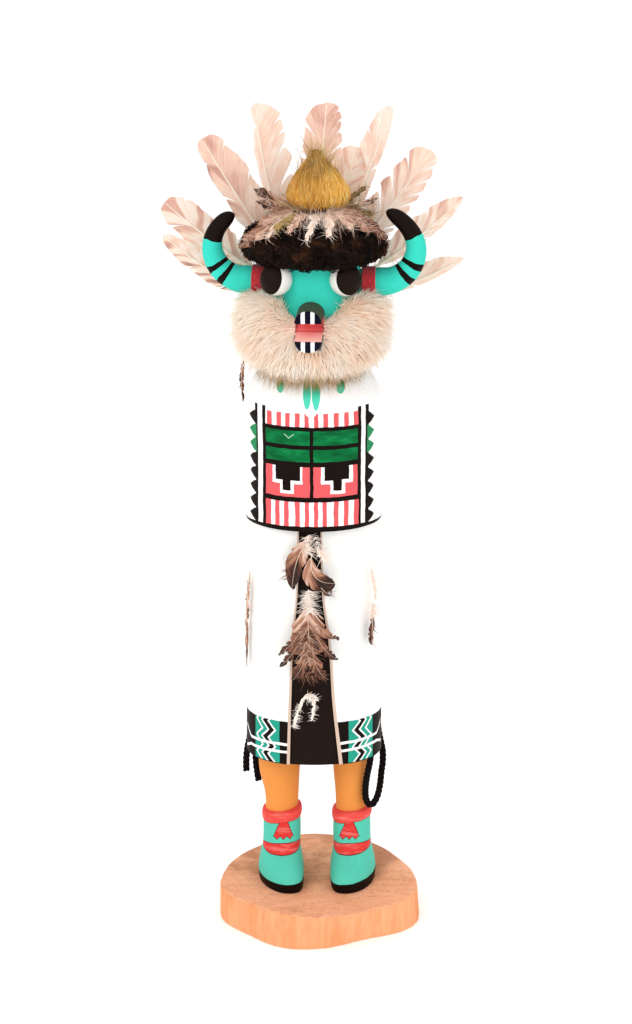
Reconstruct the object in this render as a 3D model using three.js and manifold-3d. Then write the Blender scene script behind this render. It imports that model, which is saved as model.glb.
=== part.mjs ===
// A carved and painted kachina doll that stands on a slice of cottonwood root.
// Millimetres, +Z up. The doll faces -Y, and +X is on the right of someone who faces it.
// The origin is the middle of the base's flat underside.

import * as THREE from 'three';
import { mergeVertices } from 'three/addons/utils/BufferGeometryUtils.js';
import Module from 'manifold-3d';

const wasm = await Module();
wasm.setup();

// Driving dimensions.
const GAP = 0.3; // between pieces that touch
const BASE = { thick: 18.2, radius: 50, centre: [2.5, -1.5], edge: 1.1 };
const SOLE_TOP = BASE.thick + 4.7;
const HEM = 90; // lower edge of the robe
const MANTLE_HEM = 216.8;
const SHOULDER = 284;
const HEAD = { halfWidth: 23, halfDepth: 21.5, bottom: 285, brow: 350, top: 362 };
const FACE_TURN = 4; // degrees, to the viewer's left
const EYE_RADIUS = 8;
const SNOUT = { radius: 6.5, front: 43, height: 325, gape: 13 };
const HORN = { height: 337, root: 7.0, loop: 16.6, bend: 33.5 };
const WRAP = { inner: 6.4, outer: 7.6, width: 6.2 };
const HAIR = { halfWidth: 35.2, halfDepth: 32.5, back: 21.4 };
const TUFT = { bottom: 373.8, height: 26, radius: 15.5, foot: [2.5, 0] };
const FEATHER_THICK = 1.6;
const FAN_FRONT = 22.9; // y of the foremost layer of fan feathers
const FAN_LAYER = 2.1;
const YARN = 2.8;

// Leg pairs: x of the middle of the foot, of the ankle and of the thigh, and their radii.
const LEGS = [
  { side: 'left', foot: -17.4, ankle: -16.8, thigh: -18.0, thin: 8.3, thick: 10.7, toeIn: 4.8 },
  { side: 'right', foot: 20.5, ankle: 19.8, thigh: 19.6, thin: 8.2, thick: 9.7, toeIn: -4.6 },
];

const turn = (degrees) => (degrees * Math.PI) / 180;
const mix = (from, to, share) => from + (to - from) * share;
const smooth = (low, high, value) => THREE.MathUtils.smoothstep(value, low, high);
const bump = (angle, middle, width) => {
  const away = Math.atan2(Math.sin(angle - middle), Math.cos(angle - middle));
  return Math.exp(-((away / width) ** 2));
};

// A ring of points: place(angle) gives each one, for angles that run once round.
function ring(count, place) {
  return Array.from({ length: count }, (_, index) => place((index / count) * 2 * Math.PI));
}

// A closed skin over rings that all have the same number of points, with a fan over each end.
function skin(rings) {
  const columns = rings[0].length;
  const points = rings.flat();
  for (const end of [rings[0], rings.at(-1)]) {
    const middle = new THREE.Vector3();
    end.forEach((point) => middle.addScaledVector(point, 1 / columns));
    points.push(middle);
  }
  const lastRow = (rings.length - 1) * columns;
  const [bottom, top] = [points.length - 2, points.length - 1];
  const faces = [];
  for (let i = 0; i < columns; i++) {
    const next = (i + 1) % columns;
    for (let row = 0; row < lastRow; row += columns) {
      faces.push(row + i, row + next, row + columns + next);
      faces.push(row + i, row + columns + next, row + columns + i);
    }
    faces.push(bottom, next, i, top, lastRow + i, lastRow + next);
  }
  const geometry = new THREE.BufferGeometry();
  geometry.setAttribute('position', new THREE.Float32BufferAttribute(points.flatMap((p) => p.toArray()), 3));
  geometry.setIndex(faces);
  return outward(geometry);
}

// A closed skin over rings that run once round, the last joined to the first.
function loop(rings) {
  const columns = rings[0].length;
  const faces = [];
  for (let row = 0; row < rings.length; row++) {
    const [here, there] = [row * columns, ((row + 1) % rings.length) * columns];
    for (let i = 0; i < columns; i++) {
      const next = (i + 1) % columns;
      faces.push(here + i, there + i, there + next, here + i, there + next, here + next);
    }
  }
  const geometry = new THREE.BufferGeometry();
  const numbers = rings.flat().flatMap((p) => p.toArray());
  geometry.setAttribute('position', new THREE.Float32BufferAttribute(numbers, 3));
  geometry.setIndex(faces);
  return outward(geometry);
}

// Turns a skin's faces over if they point in.
function outward(geometry) {
  const position = geometry.attributes.position;
  const [a, b, c] = [new THREE.Vector3(), new THREE.Vector3(), new THREE.Vector3()];
  const order = geometry.index.array;
  let volume = 0;
  for (let i = 0; i < order.length; i += 3) {
    [a, b, c].forEach((corner, k) => corner.fromBufferAttribute(position, order[i + k]));
    volume += a.dot(b.cross(c));
  }
  if (volume < 0) geometry.setIndex(Array.from(order).reverse());
  return geometry;
}

// An oval column from rows of [height, half width, half depth, x, y of its middle].
function column(rows, columns, grow = 0, power = 2) {
  return skin(rows.map(([z, halfWidth, halfDepth, x = 0, y = 0]) => ring(columns, (angle) => {
    const [c, s] = [Math.cos(angle), Math.sin(angle)];
    const reach = (Math.abs(c) ** power + Math.abs(s) ** power) ** (-1 / power);
    return new THREE.Vector3(x + (halfWidth + grow) * reach * c, y + (halfDepth + grow) * reach * s, z);
  })));
}

function toSolid(geometry) {
  const bare = geometry.clone();
  bare.deleteAttribute('normal');
  bare.deleteAttribute('uv');
  const merged = mergeVertices(bare, 1e-4);
  return new wasm.Manifold(new wasm.Mesh({
    numProp: 3,
    vertProperties: new Float32Array(merged.attributes.position.array),
    triVerts: new Uint32Array(merged.index.array),
  }));
}

function toGeometry(solid) {
  const mesh = solid.getMesh();
  const geometry = new THREE.BufferGeometry();
  geometry.setAttribute('position', new THREE.BufferAttribute(mesh.vertProperties, 3));
  geometry.setIndex(new THREE.BufferAttribute(mesh.triVerts, 1));
  return geometry;
}

const join = (...shapes) => shapes.map(toSolid).reduce((sum, next) => sum.add(next));
const carve = (solid, ...cutters) => cutters.map(toSolid).reduce((left, cutter) => left.subtract(cutter), solid);

// The slice of root: a round with a few bulges, fuller at the lower left than at the lower right.
function baseSlab() {
  const topBulges = [[-28, 4.8, 22], [-160, 3.6, 18], [96, 2, 18], [-88, 1.6, 26], [28, -2.6, 20], [140, -1.6, 24]];
  const lowBulges = [[-62, -3.8, 22], [-112, 3.2, 18], [-14, 1.4, 20]];
  const outline = (share, inset) => ring(48, (angle) => {
    const swell = (list) => list.reduce((sum, [at, high, wide]) => sum + high * bump(angle, turn(at), turn(wide)), 0);
    const reach = BASE.radius + swell(topBulges) + (1 - share) * swell(lowBulges) - inset;
    return [BASE.centre[0] + reach * Math.cos(angle), BASE.centre[1] + reach * Math.sin(angle)];
  });
  const heights = [[0, BASE.edge], [BASE.edge, 0], [BASE.thick - BASE.edge, 0], [BASE.thick, BASE.edge]];
  return skin(heights.map(([z, inset]) => outline(z / BASE.thick, inset)
    .map(([x, y]) => new THREE.Vector3(x, y, z))));
}

// A moccasin and its ankle: rows of [height, half width, how far the toe reaches, how far the heel reaches].
function moccasin(leg) {
  const rows = [
    [BASE.thick + GAP, 11.6, 26, 15], [SOLE_TOP, 11.9, 26.4, 15.4], [27, 11.4, 23.5, 14.6],
    [32, 10.5, 17.4, 13], [37, 9.8, 12.4, 11.8], [45, 9.8, 10.8, 11], [50, 9.7, 10.4, 10.6],
    [51.2, 10.2, 11, 11], [54, 10.5, 11.3, 11.2], [56.4, 10.1, 10.9, 10.8], [57.2, 8.6, 9, 9],
  ];
  return skin(rows.map(([z, halfWidth, toe, heel]) => ring(20, (angle) => {
    const [c, s] = [Math.cos(angle), Math.sin(angle)];
    const reach = (Math.abs(c) ** 2.35 + Math.abs(s) ** 2.35) ** (-1 / 2.35);
    const y = reach * s * (s < 0 ? toe : heel);
    const toward = leg.toeIn * Math.max(0, -y / 26) ** 2;
    const slant = z > 48 ? 0.12 * halfWidth * reach * c : 0;
    return new THREE.Vector3(leg.foot + (leg.ankle - leg.foot) * smooth(25, 45, z)
      + halfWidth * reach * c + toward, y, z + slant);
  })));
}

function shin(leg) {
  return column([
    [50, leg.thin, leg.thin, leg.ankle], [62, leg.thin + 0.3, leg.thin + 0.3, leg.ankle],
    [80, leg.thick, leg.thick, leg.thigh], [HEM + 6, leg.thick + 0.6, leg.thick + 0.6, leg.thigh],
  ], 20);
}

const robe = () => column([
  [HEM, 35, 26.5], [150, 34.4, 26.6], [MANTLE_HEM + 4, 33.6, 27],
], 44, 0, 2.15);

// The strip of dark under-robe, set back a little between the front edges of the white one.
function frontOpening() {
  const depth = 1.1;
  const shape = new THREE.Shape([
    new THREE.Vector2(-13.2, HEM - 1), new THREE.Vector2(13.2, HEM - 1), new THREE.Vector2(8.6, 128),
    new THREE.Vector2(4.4, 188), new THREE.Vector2(4, MANTLE_HEM), new THREE.Vector2(-8, MANTLE_HEM),
    new THREE.Vector2(-8.6, 188), new THREE.Vector2(-11, 128),
  ]);
  const cutter = new THREE.ExtrudeGeometry(shape, { depth: 20, bevelEnabled: false });
  cutter.rotateX(Math.PI / 2);
  cutter.translate(0, -26.4 + depth + 1.6, 0);
  return toSolid(cutter).subtract(toSolid(column([[HEM - 2, 33.9, 25.4], [150, 33.3, 25.5], [MANTLE_HEM + 2, 32.5, 25.9]], 44, 0, 2.15)));
}

const mantle = (grow = 0) => column([
  [MANTLE_HEM, 34.3, 31], [MANTLE_HEM + 4, 34.2, 30.9], [250, 33.6, 30.4], [272, 34, 30.5],
  [SHOULDER - 3, 33.6, 30], [SHOULDER + 3, 31, 27.6], [SHOULDER + 8, 27, 24.4], [SHOULDER + 10.5 + grow, 22, 20],
], 44, grow, 2.1);

const head = (grow = 0) => column([
  [HEAD.bottom, HEAD.halfWidth - 1, HEAD.halfDepth - 1], [300, HEAD.halfWidth, HEAD.halfDepth],
  [HEAD.brow, HEAD.halfWidth - 0.4, HEAD.halfDepth - 0.4], [HEAD.brow + 6, HEAD.halfWidth - 3, HEAD.halfDepth - 3],
  [HEAD.top - 2.5, 14, 13], [HEAD.top + grow, 7, 6.5],
], 30, grow);

// Places on the mask are told as if it faced straight forward, then turned with the face.
const faceTurn = new THREE.Matrix4().makeRotationZ(turn(-FACE_TURN));
const onFace = (x, y, z) => new THREE.Vector3(x, y, z).applyMatrix4(faceTurn);

const EYES = [
  { side: 'left', at: onFace(-16.8, -20.7, 341.6) },
  { side: 'right', at: onFace(16.7, -19.5, 341.6) },
];

const eyeBall = (eye, grow = 0) => new THREE.SphereGeometry(EYE_RADIUS + grow, 16, 9)
  .translate(eye.at.x, eye.at.y, eye.at.z);

// The figure is one carved solid: feet, legs, robe, mantle and mask.
function figure() {
  const body = join(...LEGS.map(moccasin), ...LEGS.map(shin), robe()).subtract(frontOpening());
  const whole = body.add(toSolid(mantle())).add(toSolid(head()));
  return toGeometry(carve(whole, ...EYES.map((eye) => eyeBall(eye, GAP))));
}

// Half of a round bar along -Y, flat side down for the upper jaw and up for the lower one.
function jaw(upper, from, to, grow) {
  const arc = (y, radius) => Array.from({ length: 11 }, (_, i) => {
    const angle = (i / 10) * Math.PI;
    return new THREE.Vector3(radius * Math.cos(angle), y, (upper ? 1 : -1) * radius * Math.sin(angle));
  });
  const rows = [[from, SNOUT.radius + 0.2], [to - 1.2, SNOUT.radius], [to, SNOUT.radius - 0.9]];
  return skin(rows.map(([y, radius]) => arc(-y, radius + grow)));
}

// The snout: a level upper jaw and a lower one that drops away, carved from one peg.
function snoutShape(grow = 0) {
  const upper = jaw(true, 10, SNOUT.front, grow).translate(0, -grow, SNOUT.height);
  const lower = jaw(false, 4, SNOUT.front - 17, grow).rotateX(turn(SNOUT.gape))
    .translate(0, -17.4 - grow, SNOUT.height - 3.6);
  const root = new THREE.CylinderGeometry(SNOUT.radius + grow, SNOUT.radius + grow, 16, 16)
    .translate(0, -16, SNOUT.height - 1.6);
  for (const shape of [upper, lower, root]) shape.applyMatrix4(faceTurn);
  return join(upper, lower, root);
}

const snout = () => toGeometry(carve(snoutShape(), head(GAP)));

// Each horn leaves the mask level inside its wrap, then curls up and in round a circle to a blunt tip.
function horn(side) {
  const sign = side === 'left' ? -1 : 1;
  const sweep = turn(side === 'left' ? 158 : 165);
  const steps = 11;
  const stations = [[22.5, HORN.height, 0, WRAP.inner - GAP], [HORN.bend - 3.4, HORN.height, 0, WRAP.inner - GAP]];
  for (let i = 0; i <= steps; i++) {
    const along = (sweep * i) / steps;
    const blunt = Math.sqrt(1 - Math.max(0, (i / steps - 0.8) / 0.2) ** 2 * 0.85);
    stations.push([HORN.bend + HORN.loop * Math.sin(along), HORN.height + HORN.loop * (1 - Math.cos(along)),
      along, mix(HORN.root, 3.4, i / steps) * blunt]);
  }
  const rings = stations.map(([x, z, along, radius]) => ring(10, (angle) => {
    const out = radius * Math.cos(angle);
    return onFace(sign * (x + out * Math.sin(along)), radius * Math.sin(angle), z - out * Math.cos(along));
  }));
  return toGeometry(carve(toSolid(skin(rings)), head(GAP)));
}

// Wound yarn round the root of a horn: a collar fitted to the mask.
function hornWrap(side) {
  const sign = side === 'left' ? -1 : 1;
  const half = WRAP.width / 2;
  const middle = (WRAP.inner + WRAP.outer) / 2;
  const profile = ring(6, (angle) => new THREE.Vector2(
    middle + ((WRAP.outer - WRAP.inner) / 2) * Math.cos(angle),
    half * Math.sin(angle),
  ));
  const collar = new THREE.LatheGeometry([...profile, profile[0]], 16).rotateZ(Math.PI / 2)
    .translate(sign * (HORN.bend - 3.8 - half), 0, HORN.height).applyMatrix4(faceTurn);
  return toGeometry(carve(toSolid(collar), head(GAP)));
}

// The wool cap: a thick lumpy cushion over the top of the mask, cut off level with its back.
function hair() {
  const rows = [[344.2, 0.72], [344.6, 0.86], [348, 0.98], [353, 1], [358.5, 0.95], [363.5, 0.82], [367.6, 0.62],
    [370.3, 0.36], [371.4, 0.12]];
  const cap = skin(rows.map(([z, share], row) => ring(27, (angle) => {
    const lump = 1 + 0.028 * Math.sin(9 * angle + row * 2.1) + 0.016 * Math.sin(17 * angle - row * 1.3);
    const droop = row < 3 ? 2.2 * Math.cos(angle) ** 2 + 2.2 * bump(angle, -Math.PI / 2, 0.9) : 0;
    return new THREE.Vector3(HAIR.halfWidth * share * lump * Math.cos(angle),
      HAIR.halfDepth * share * lump * Math.sin(angle), z + droop);
  })));
  const behind = new THREE.BoxGeometry(100, 40, 60).translate(0, HAIR.back + 20, 355);
  return toGeometry(carve(toSolid(cap), behind, head(GAP), ...EYES.map((eye) => eyeBall(eye, GAP))));
}

// The fur collar: full and high beside the face, lower under the snout, slim and low at the back.
function ruff() {
  const rings = ring(31, (angle) => {
    const [c, s] = [Math.cos(angle), Math.sin(angle)];
    const front = smooth(0.25, 1, -s);
    const back = smooth(0.15, 0.75, s);
    const outer = mix(40.2, 32.5, back) - 1.2 * front;
    const low = mix(296.5, 291, front);
    const high = mix(mix(333, 324, smooth(0.72, 1, -s)), 316.5, back);
    const inner = 17;
    return ring(8, (around) => {
      const lump = 1 + 0.03 * Math.sin(13 * angle + 2 * around) * Math.max(0, Math.cos(around));
      const power = 2.5;
      const reach = (Math.abs(Math.cos(around)) ** power + Math.abs(Math.sin(around)) ** power) ** (-1 / power);
      const radius = (inner + outer) / 2 + ((outer - inner) / 2) * reach * Math.cos(around) * lump;
      return new THREE.Vector3(radius * c, radius * s * 0.98,
        (low + high) / 2 + ((high - low) / 2) * reach * Math.sin(around));
    });
  });
  const solid = toSolid(loop(rings));
  const cutters = [head(GAP), mantle(GAP), ...EYES.map((eye) => eyeBall(eye, GAP))];
  const snoutHole = new THREE.CylinderGeometry(SNOUT.radius + 0.5, SNOUT.radius + 0.5, 40, 16)
    .translate(0, -30, SNOUT.height).applyMatrix4(faceTurn);
  const jawHole = new THREE.CylinderGeometry(SNOUT.radius + 0.5, SNOUT.radius + 0.5, 40, 16).rotateX(turn(SNOUT.gape))
    .translate(0, -32, SNOUT.height - 6.4).applyMatrix4(faceTurn);
  const hornHole = new THREE.CylinderGeometry(WRAP.outer + GAP, WRAP.outer + GAP, 120, 16).rotateZ(Math.PI / 2)
    .translate(0, 0, HORN.height).applyMatrix4(faceTurn);
  return toGeometry(carve(solid, ...cutters, snoutHole, jawHole, hornHole).subtract(snoutShape(GAP)));
}

// A feather: a quill that widens into a thin blade. The path runs from the quill's end to the tip;
// vanes are the widths of the two sides, left and right of the path as seen against the face vector.
function feather({ path, face, vanes, from = [0.32, 0.32], blunt = 0.5, steps = 12, thick = FEATHER_THICK }) {
  const curve = new THREE.QuadraticBezierCurve3(...path.map((point) => new THREE.Vector3(...point)));
  const normal = new THREE.Vector3(...face).normalize();
  const quill = 0.8;
  const width = (vane, start, share) => {
    const along = Math.max(0, (share - start) / (1 - start));
    const rise = Math.min(1, (along / 0.35)) ** 0.8;
    return quill + (vane - quill) * rise * (1 - along ** (2 / blunt)) ** blunt;
  };
  const rings = Array.from({ length: steps + 1 }, (_, index) => {
    const share = index / steps;
    const at = curve.getPoint(share);
    const across = curve.getTangent(share).cross(normal).normalize();
    const half = (thick / 2) * mix(1, 0.45, share);
    return [
      at.clone().addScaledVector(across, -width(vanes[0], from[0], share)),
      at.clone().addScaledVector(normal, half),
      at.clone().addScaledVector(across, width(vanes[1], from[1], share)),
      at.clone().addScaledVector(normal, -half),
    ];
  });
  return skin(rings);
}

// The fan behind the mask, from the viewer's lower left over the top to the lower right:
// the quill's end, a point that the quill bends towards, the tip, both vanes, the layer, where each vane starts.
const FAN = [
  { end: [-11, 321], bend: [-40, 324], tip: [-75.6, 355.2], vanes: [6, 7], layer: 0 },
  { end: [-10, 326], bend: [-38, 339], tip: [-74.6, 371.4], vanes: [8.6, 10], layer: 1 },
  { end: [-8, 331], bend: [-25, 352], tip: [-55.6, 403.6], vanes: [6.5, 12], layer: 0 },
  { end: [-4, 336], bend: [-26, 372], tip: [-28.6, 421.2], vanes: [3.4, 13.6], layer: 1 },
  { end: [0, 338], bend: [2, 375], tip: [6.4, 421.4], vanes: [10.4, 9.4], layer: 0 },
  { end: [4, 337], bend: [21, 368], tip: [38.8, 419.2], vanes: [8.4, 4], layer: 1, from: [0.66, 0.3] },
  { end: [2, 334], bend: [9, 370], tip: [23.8, 398.6], vanes: [10, 10], layer: 2 },
  { end: [8, 333], bend: [27, 352], tip: [58.2, 398], vanes: [10.8, 8.6], layer: 0 },
  { end: [10, 328], bend: [42, 341], tip: [74.4, 374], vanes: [9.8, 4.6], layer: 1 },
  { end: [11, 322], bend: [45, 326], tip: [75, 343.4], vanes: [9.2, 3.2], layer: 0 },
];

function fanFeather({ end, bend, tip, vanes, layer, from = [0.34, 0.34] }) {
  const y = FAN_FRONT + layer * FAN_LAYER;
  return feather({ path: [[end[0], y, end[1]], [bend[0], y, bend[1]], [tip[0], y, tip[1]]],
    face: [0, -1, 0], vanes, from, blunt: 0.35 });
}

// A tuft of yellow down, fullest a little above its foot.
function tuft(grow = 0) {
  const shape = [[0, 0.96], [0.16, 1], [0.4, 0.84], [0.62, 0.64], [0.82, 0.42], [0.95, 0.22]];
  return skin(shape.map(([up, share], row) => ring(20, (angle) => {
    const lock = 1 + 0.05 * Math.sin(11 * angle + row) + 0.03 * Math.sin(5 * angle);
    const reach = TUFT.radius * share * lock + grow;
    return new THREE.Vector3(TUFT.foot[0] - 3.4 * up + reach * Math.cos(angle),
      TUFT.foot[1] + reach * 0.86 * Math.sin(angle), TUFT.bottom + TUFT.height * up);
  })));
}

// Small body feathers laid round the tuft's foot like a ragged skirt, and a few that stand out to the sides.
function crestCollar() {
  const low = TUFT.bottom - 1.9;
  const skirt = loop(ring(54, (angle) => {
    const leaf = 1 - Math.sqrt(Math.abs(Math.sin(9 * angle)));
    const reach = 27.5 + 2 * Math.sin(3.3 * angle) - 5 * leaf - 7 * smooth(0, 0.8, Math.sin(angle));
    const at = (radius, z) => new THREE.Vector3(
      TUFT.foot[0] + radius * Math.cos(angle),
      TUFT.foot[1] + 0.9 * radius * Math.sin(angle),
      z,
    );
    return [at(7, low), at(reach, 372.2 - 0.13 * reach), at(7, TUFT.bottom - GAP)];
  }));
  const raised = [
    { path: [[-6, 1.3, low + 1], [-20, 2, 374], [-30, 3, 382.5]], vanes: [3.4, 3.4] },
    { path: [[-6, -3.7, low + 1], [-18, -5, 372.4], [-27, -6, 377]], vanes: [3, 3] },
    { path: [[9, -0.7, low + 1], [22, 0, 374], [34, 0, 379.5]], vanes: [2.6, 2.6] },
    { path: [[9, 4.3, low + 1], [20, 6, 374], [28, 8, 380]], vanes: [3, 3] },
  ];
  const leaves = raised.map((leaf) => feather({ ...leaf, face: [0, 1, 0.4], from: [0.3, 0.3], steps: 6 }));
  return toGeometry(carve(join(skirt, ...leaves), tuft(GAP)));
}

// Feathers tied to the doll: down the front opening, at the robe's sides and at the left shoulder.
const FRONT = -30.4;
const HANGING = {
  shoulder_feather: { path: [[-36.2, 5, 298], [-37, 7, 288], [-36.6, 9, 272.6]], face: [1, 0, 0], vanes: [3.6, 3.6] },
  robe_feather_upper: { path: [[-1.5, FRONT, 215.6], [-2, FRONT - 1, 202], [-1, FRONT, 188]], vanes: [12, 12] },
  robe_feather_lower: { path: [[-1.5, FRONT, 187], [-1.6, FRONT - 1.4, 162], [-1.4, FRONT, 142]], vanes: [14, 14] },
  robe_down: { path: [[-1.2, FRONT + 1.2, 141], [-3, FRONT, 129], [-2.4, FRONT + 1, 118]], vanes: [5, 5] },
  side_feather_right: { path: [[29, -19, 187], [32.2, -16.5, 172], [31, -17, 156]], face: [0.72, -0.7, 0], vanes: [5, 5] },
  side_feather_left: { path: [[-34, -9, 195], [-36.2, -8, 165], [-35.6, -8, 137]], face: [-1, -0.2, 0], vanes: [5, 5] },
};

const hangingFeather = ({ face = [0, -1, 0], ...rest }) => feather({ face, from: [0.02, 0.02], steps: 9, ...rest });

// Black yarn: the routes that the two loose ends and the loop follow, from where each leaves the robe.
const YARNS = {
  yarn_loop_right: [[31.94, 12.37, 106], [33.6, 13.4, 105.8], [35.4, 14.2, 104.2], [36.6, 13.8, 101],
    [37.1, 11.8, 96], [36.9, 8.4, 90], [36.2, 4.6, 83], [35.2, 1, 76], [34.4, -2.2, 69.6], [33, -5.2, 64.4],
    [30.8, -7.6, 61.2], [28.4, -9, 61.4], [26.9, -9.6, 64.8], [26.6, -9.8, 70], [27.3, -10, 77], [28.6, -10, 84],
    [29.4, -9.8, 89.6]],
  yarn_end_outer: [[-31.94, 12.37, 106], [-33.4, 13.3, 105.8], [-35, 14, 104], [-35.6, 13.8, 100], [-35.4, 13, 93],
    [-35.4, 11.6, 86], [-35.7, 10, 79], [-35.6, 9, 72.8]],
  yarn_end_inner: [[-27.6, 17.64, 106], [-28.7, 18.8, 105.7], [-29.8, 19.9, 104], [-30.4, 20, 100], [-30.6, 18.8, 92],
    [-30.9, 16.6, 84], [-30.6, 13.6, 76], [-29.8, 11.6, 70], [-29.2, 10.6, 66.6]],
};

function yarn(route) {
  const path = new THREE.CatmullRomCurve3(route.map((point) => new THREE.Vector3(...point)));
  const section = new THREE.Shape(ring(8, (angle) => new THREE.Vector2(
    (YARN / 2) * Math.cos(angle),
    (YARN / 2) * Math.sin(angle),
  )));
  const steps = Math.round(path.getLength() / (2.6 * YARN));
  return new THREE.ExtrudeGeometry(section, { extrudePath: path, steps, bevelEnabled: false });
}

const doll = new THREE.Group();

function piece(name, geometry, color, roughness) {
  const mesh = new THREE.Mesh(geometry, new THREE.MeshStandardMaterial({ color, roughness, metalness: 0 }));
  mesh.name = name;
  doll.add(mesh);
}

piece('base', baseSlab(), '#f4b98d', 0.8);
piece('figure', figure(), '#fbfaf7', 0.6);
piece('snout', snout(), '#2b1f19', 0.5);
for (const eye of EYES) piece(`eye_${eye.side}`, eyeBall(eye), '#f6f2ea', 0.4);
for (const side of ['left', 'right']) {
  piece(`horn_${side}`, horn(side), '#4fe0cc', 0.5);
  piece(`horn_wrap_${side}`, hornWrap(side), '#d5323f', 0.9);
}
piece('hair', hair(), '#2d1c13', 1);
piece('fur_ruff', ruff(), '#fbd6b8', 1);
piece('crest_tuft', tuft(), '#d89b4d', 1);
piece('crest_collar', crestCollar(), '#8a6a55', 1);
FAN.forEach((one, index) => piece(`fan_feather_${index + 1}`, fanFeather(one), '#f9e0cc', 0.9));
for (const [name, one] of Object.entries(HANGING)) piece(name, hangingFeather(one), '#6b5142', 0.9);
for (const [name, route] of Object.entries(YARNS)) piece(name, yarn(route), '#1a1310', 1);

export default doll;
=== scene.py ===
"""A kachina doll carved from cottonwood root, painted, and dressed with wool, fur, yarn and feathers.

Shapes are worked out in millimetres and put into metres as their meshes are made. +Z is up, the doll faces -Y
and +X is on the right of someone who faces it.
"""
import math
from collections import namedtuple

import bpy
import numpy as np
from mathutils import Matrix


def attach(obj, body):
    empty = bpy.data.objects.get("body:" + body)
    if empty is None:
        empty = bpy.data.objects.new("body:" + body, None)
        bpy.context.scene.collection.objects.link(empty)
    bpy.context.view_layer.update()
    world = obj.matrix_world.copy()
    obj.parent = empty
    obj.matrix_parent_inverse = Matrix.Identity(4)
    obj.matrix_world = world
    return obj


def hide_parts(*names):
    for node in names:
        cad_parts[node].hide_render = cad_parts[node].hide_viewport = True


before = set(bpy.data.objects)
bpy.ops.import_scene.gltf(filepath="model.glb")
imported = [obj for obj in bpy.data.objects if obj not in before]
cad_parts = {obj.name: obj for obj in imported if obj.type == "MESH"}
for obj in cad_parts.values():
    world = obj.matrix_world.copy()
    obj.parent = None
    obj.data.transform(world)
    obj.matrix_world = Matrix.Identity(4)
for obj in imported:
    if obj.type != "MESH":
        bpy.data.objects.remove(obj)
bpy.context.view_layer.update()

MM = 0.001
GAP = 0.3  # between pieces that touch
FULL = 2 * math.pi

# Driving dimensions, the same as the solids'.
BASE = dict(thick=18.2, radius=50, centre=(2.5, -1.5), edge=1.1)
FACE_TURN = 4  # degrees, to the viewer's left
EYE_RADIUS = 8
SNOUT = dict(radius=6.5, front=43, height=325, gape=13)
HORN = dict(height=337, root=7.0, loop=16.6, bend=33.5)
WRAP = dict(inner=6.4, width=6.2)
HAIR = dict(half_width=35.2, half_depth=32.5, back=21.4)
TUFT = dict(bottom=373.8, height=26, radius=15.5, foot=(2.5, 0))

rng = np.random.default_rng(11)


# ---------------------------------------------------------------- camera

def make_camera():
    """A long lens 1.25 m in front, looking 17.3 degrees down."""
    camera = bpy.data.objects.new("Camera", bpy.data.cameras.new("Camera"))
    bpy.context.collection.objects.link(camera)
    camera.location = (0.001, -1.25, 0.607)
    camera.rotation_euler = (math.radians(90 - 17.3), 0, 0)
    camera.data.sensor_width = 36
    camera.data.lens = 91.05
    camera.data.clip_end = 50
    bpy.context.scene.camera = camera


make_camera()


# ---------------------------------------------------------------- meshes

Skin = namedtuple("Skin", "points faces places tone finish")


def skin(points, uv=None, tone=None, finish=0, ring=False):
    """Closed skins over stacks of rings, many at once.

    points is (skins, rings, sides, 3). Each four-cornered cell between two rings is cut into two triangles. A fan
    over the middle of the first and last ring closes each end, or, with ring, the last ring joins the first.
    uv is (skins, rings, sides + 1, 2) or anything that spreads to it; tone is one number a point.
    """
    points = np.asarray(points, float)
    if points.ndim == 3:
        points = points[None]
    count, rings, sides, _ = points.shape
    if uv is None:
        round_share, along_share = np.meshgrid(np.linspace(0, 1, sides + 1), np.linspace(0, 1, rings))
        uv = np.stack([round_share, along_share], -1)
    uv = np.broadcast_to(uv, (count, rings, sides + 1, 2))
    tone = np.broadcast_to(0.0 if tone is None else tone, (count, rings, sides))
    i = np.arange(sides)
    here = np.arange(rings if ring else rings - 1)[:, None]
    there = (here + 1) % rings
    a, b = (here * sides + i).ravel(), (here * sides + (i + 1) % sides).ravel()
    c, d = (there * sides + (i + 1) % sides).ravel(), (there * sides + i).ravel()
    wide = sides + 1
    e, f = (here * wide + i).ravel(), (here * wide + i + 1).ravel()
    g, h = (there * wide + i + 1).ravel(), (there * wide + i).ravel()
    faces = [np.stack([a, b, c], 1), np.stack([a, c, d], 1)]
    corners = [np.stack([e, f, g], 1), np.stack([e, g, h], 1)]
    each, each_uv = rings * sides, rings * wide
    flat, flat_uv, flat_tone = points.reshape(count, each, 3), uv.reshape(count, each_uv, 2), tone.reshape(count, each)
    if not ring:
        last, last_uv = (rings - 1) * sides, (rings - 1) * wide
        faces += [np.stack([0 * i + each, (i + 1) % sides, i], 1),
                  np.stack([0 * i + each + 1, last + i, last + (i + 1) % sides], 1)]
        corners += [np.stack([0 * i + each_uv, i + 1, i], 1),
                    np.stack([0 * i + each_uv + 1, last_uv + i, last_uv + i + 1], 1)]
        ends = points[:, [0, -1]].mean(2)
        flat = np.concatenate([flat, ends], 1)
        flat_uv = np.concatenate([flat_uv, uv[:, [0, -1]].mean(2)], 1)
        flat_tone = np.concatenate([flat_tone, tone[:, [0, -1]].mean(2)], 1)
    faces, corners = np.concatenate(faces), np.concatenate(corners)
    step = np.arange(count)[:, None, None]
    faces = (faces + step * flat.shape[1]).reshape(-1, 3)
    corners = (corners + step * flat_uv.shape[1]).reshape(-1, 3)
    return Skin(flat.reshape(-1, 3), faces, flat_uv.reshape(-1, 2)[corners], flat_tone.ravel(), finish)


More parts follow.
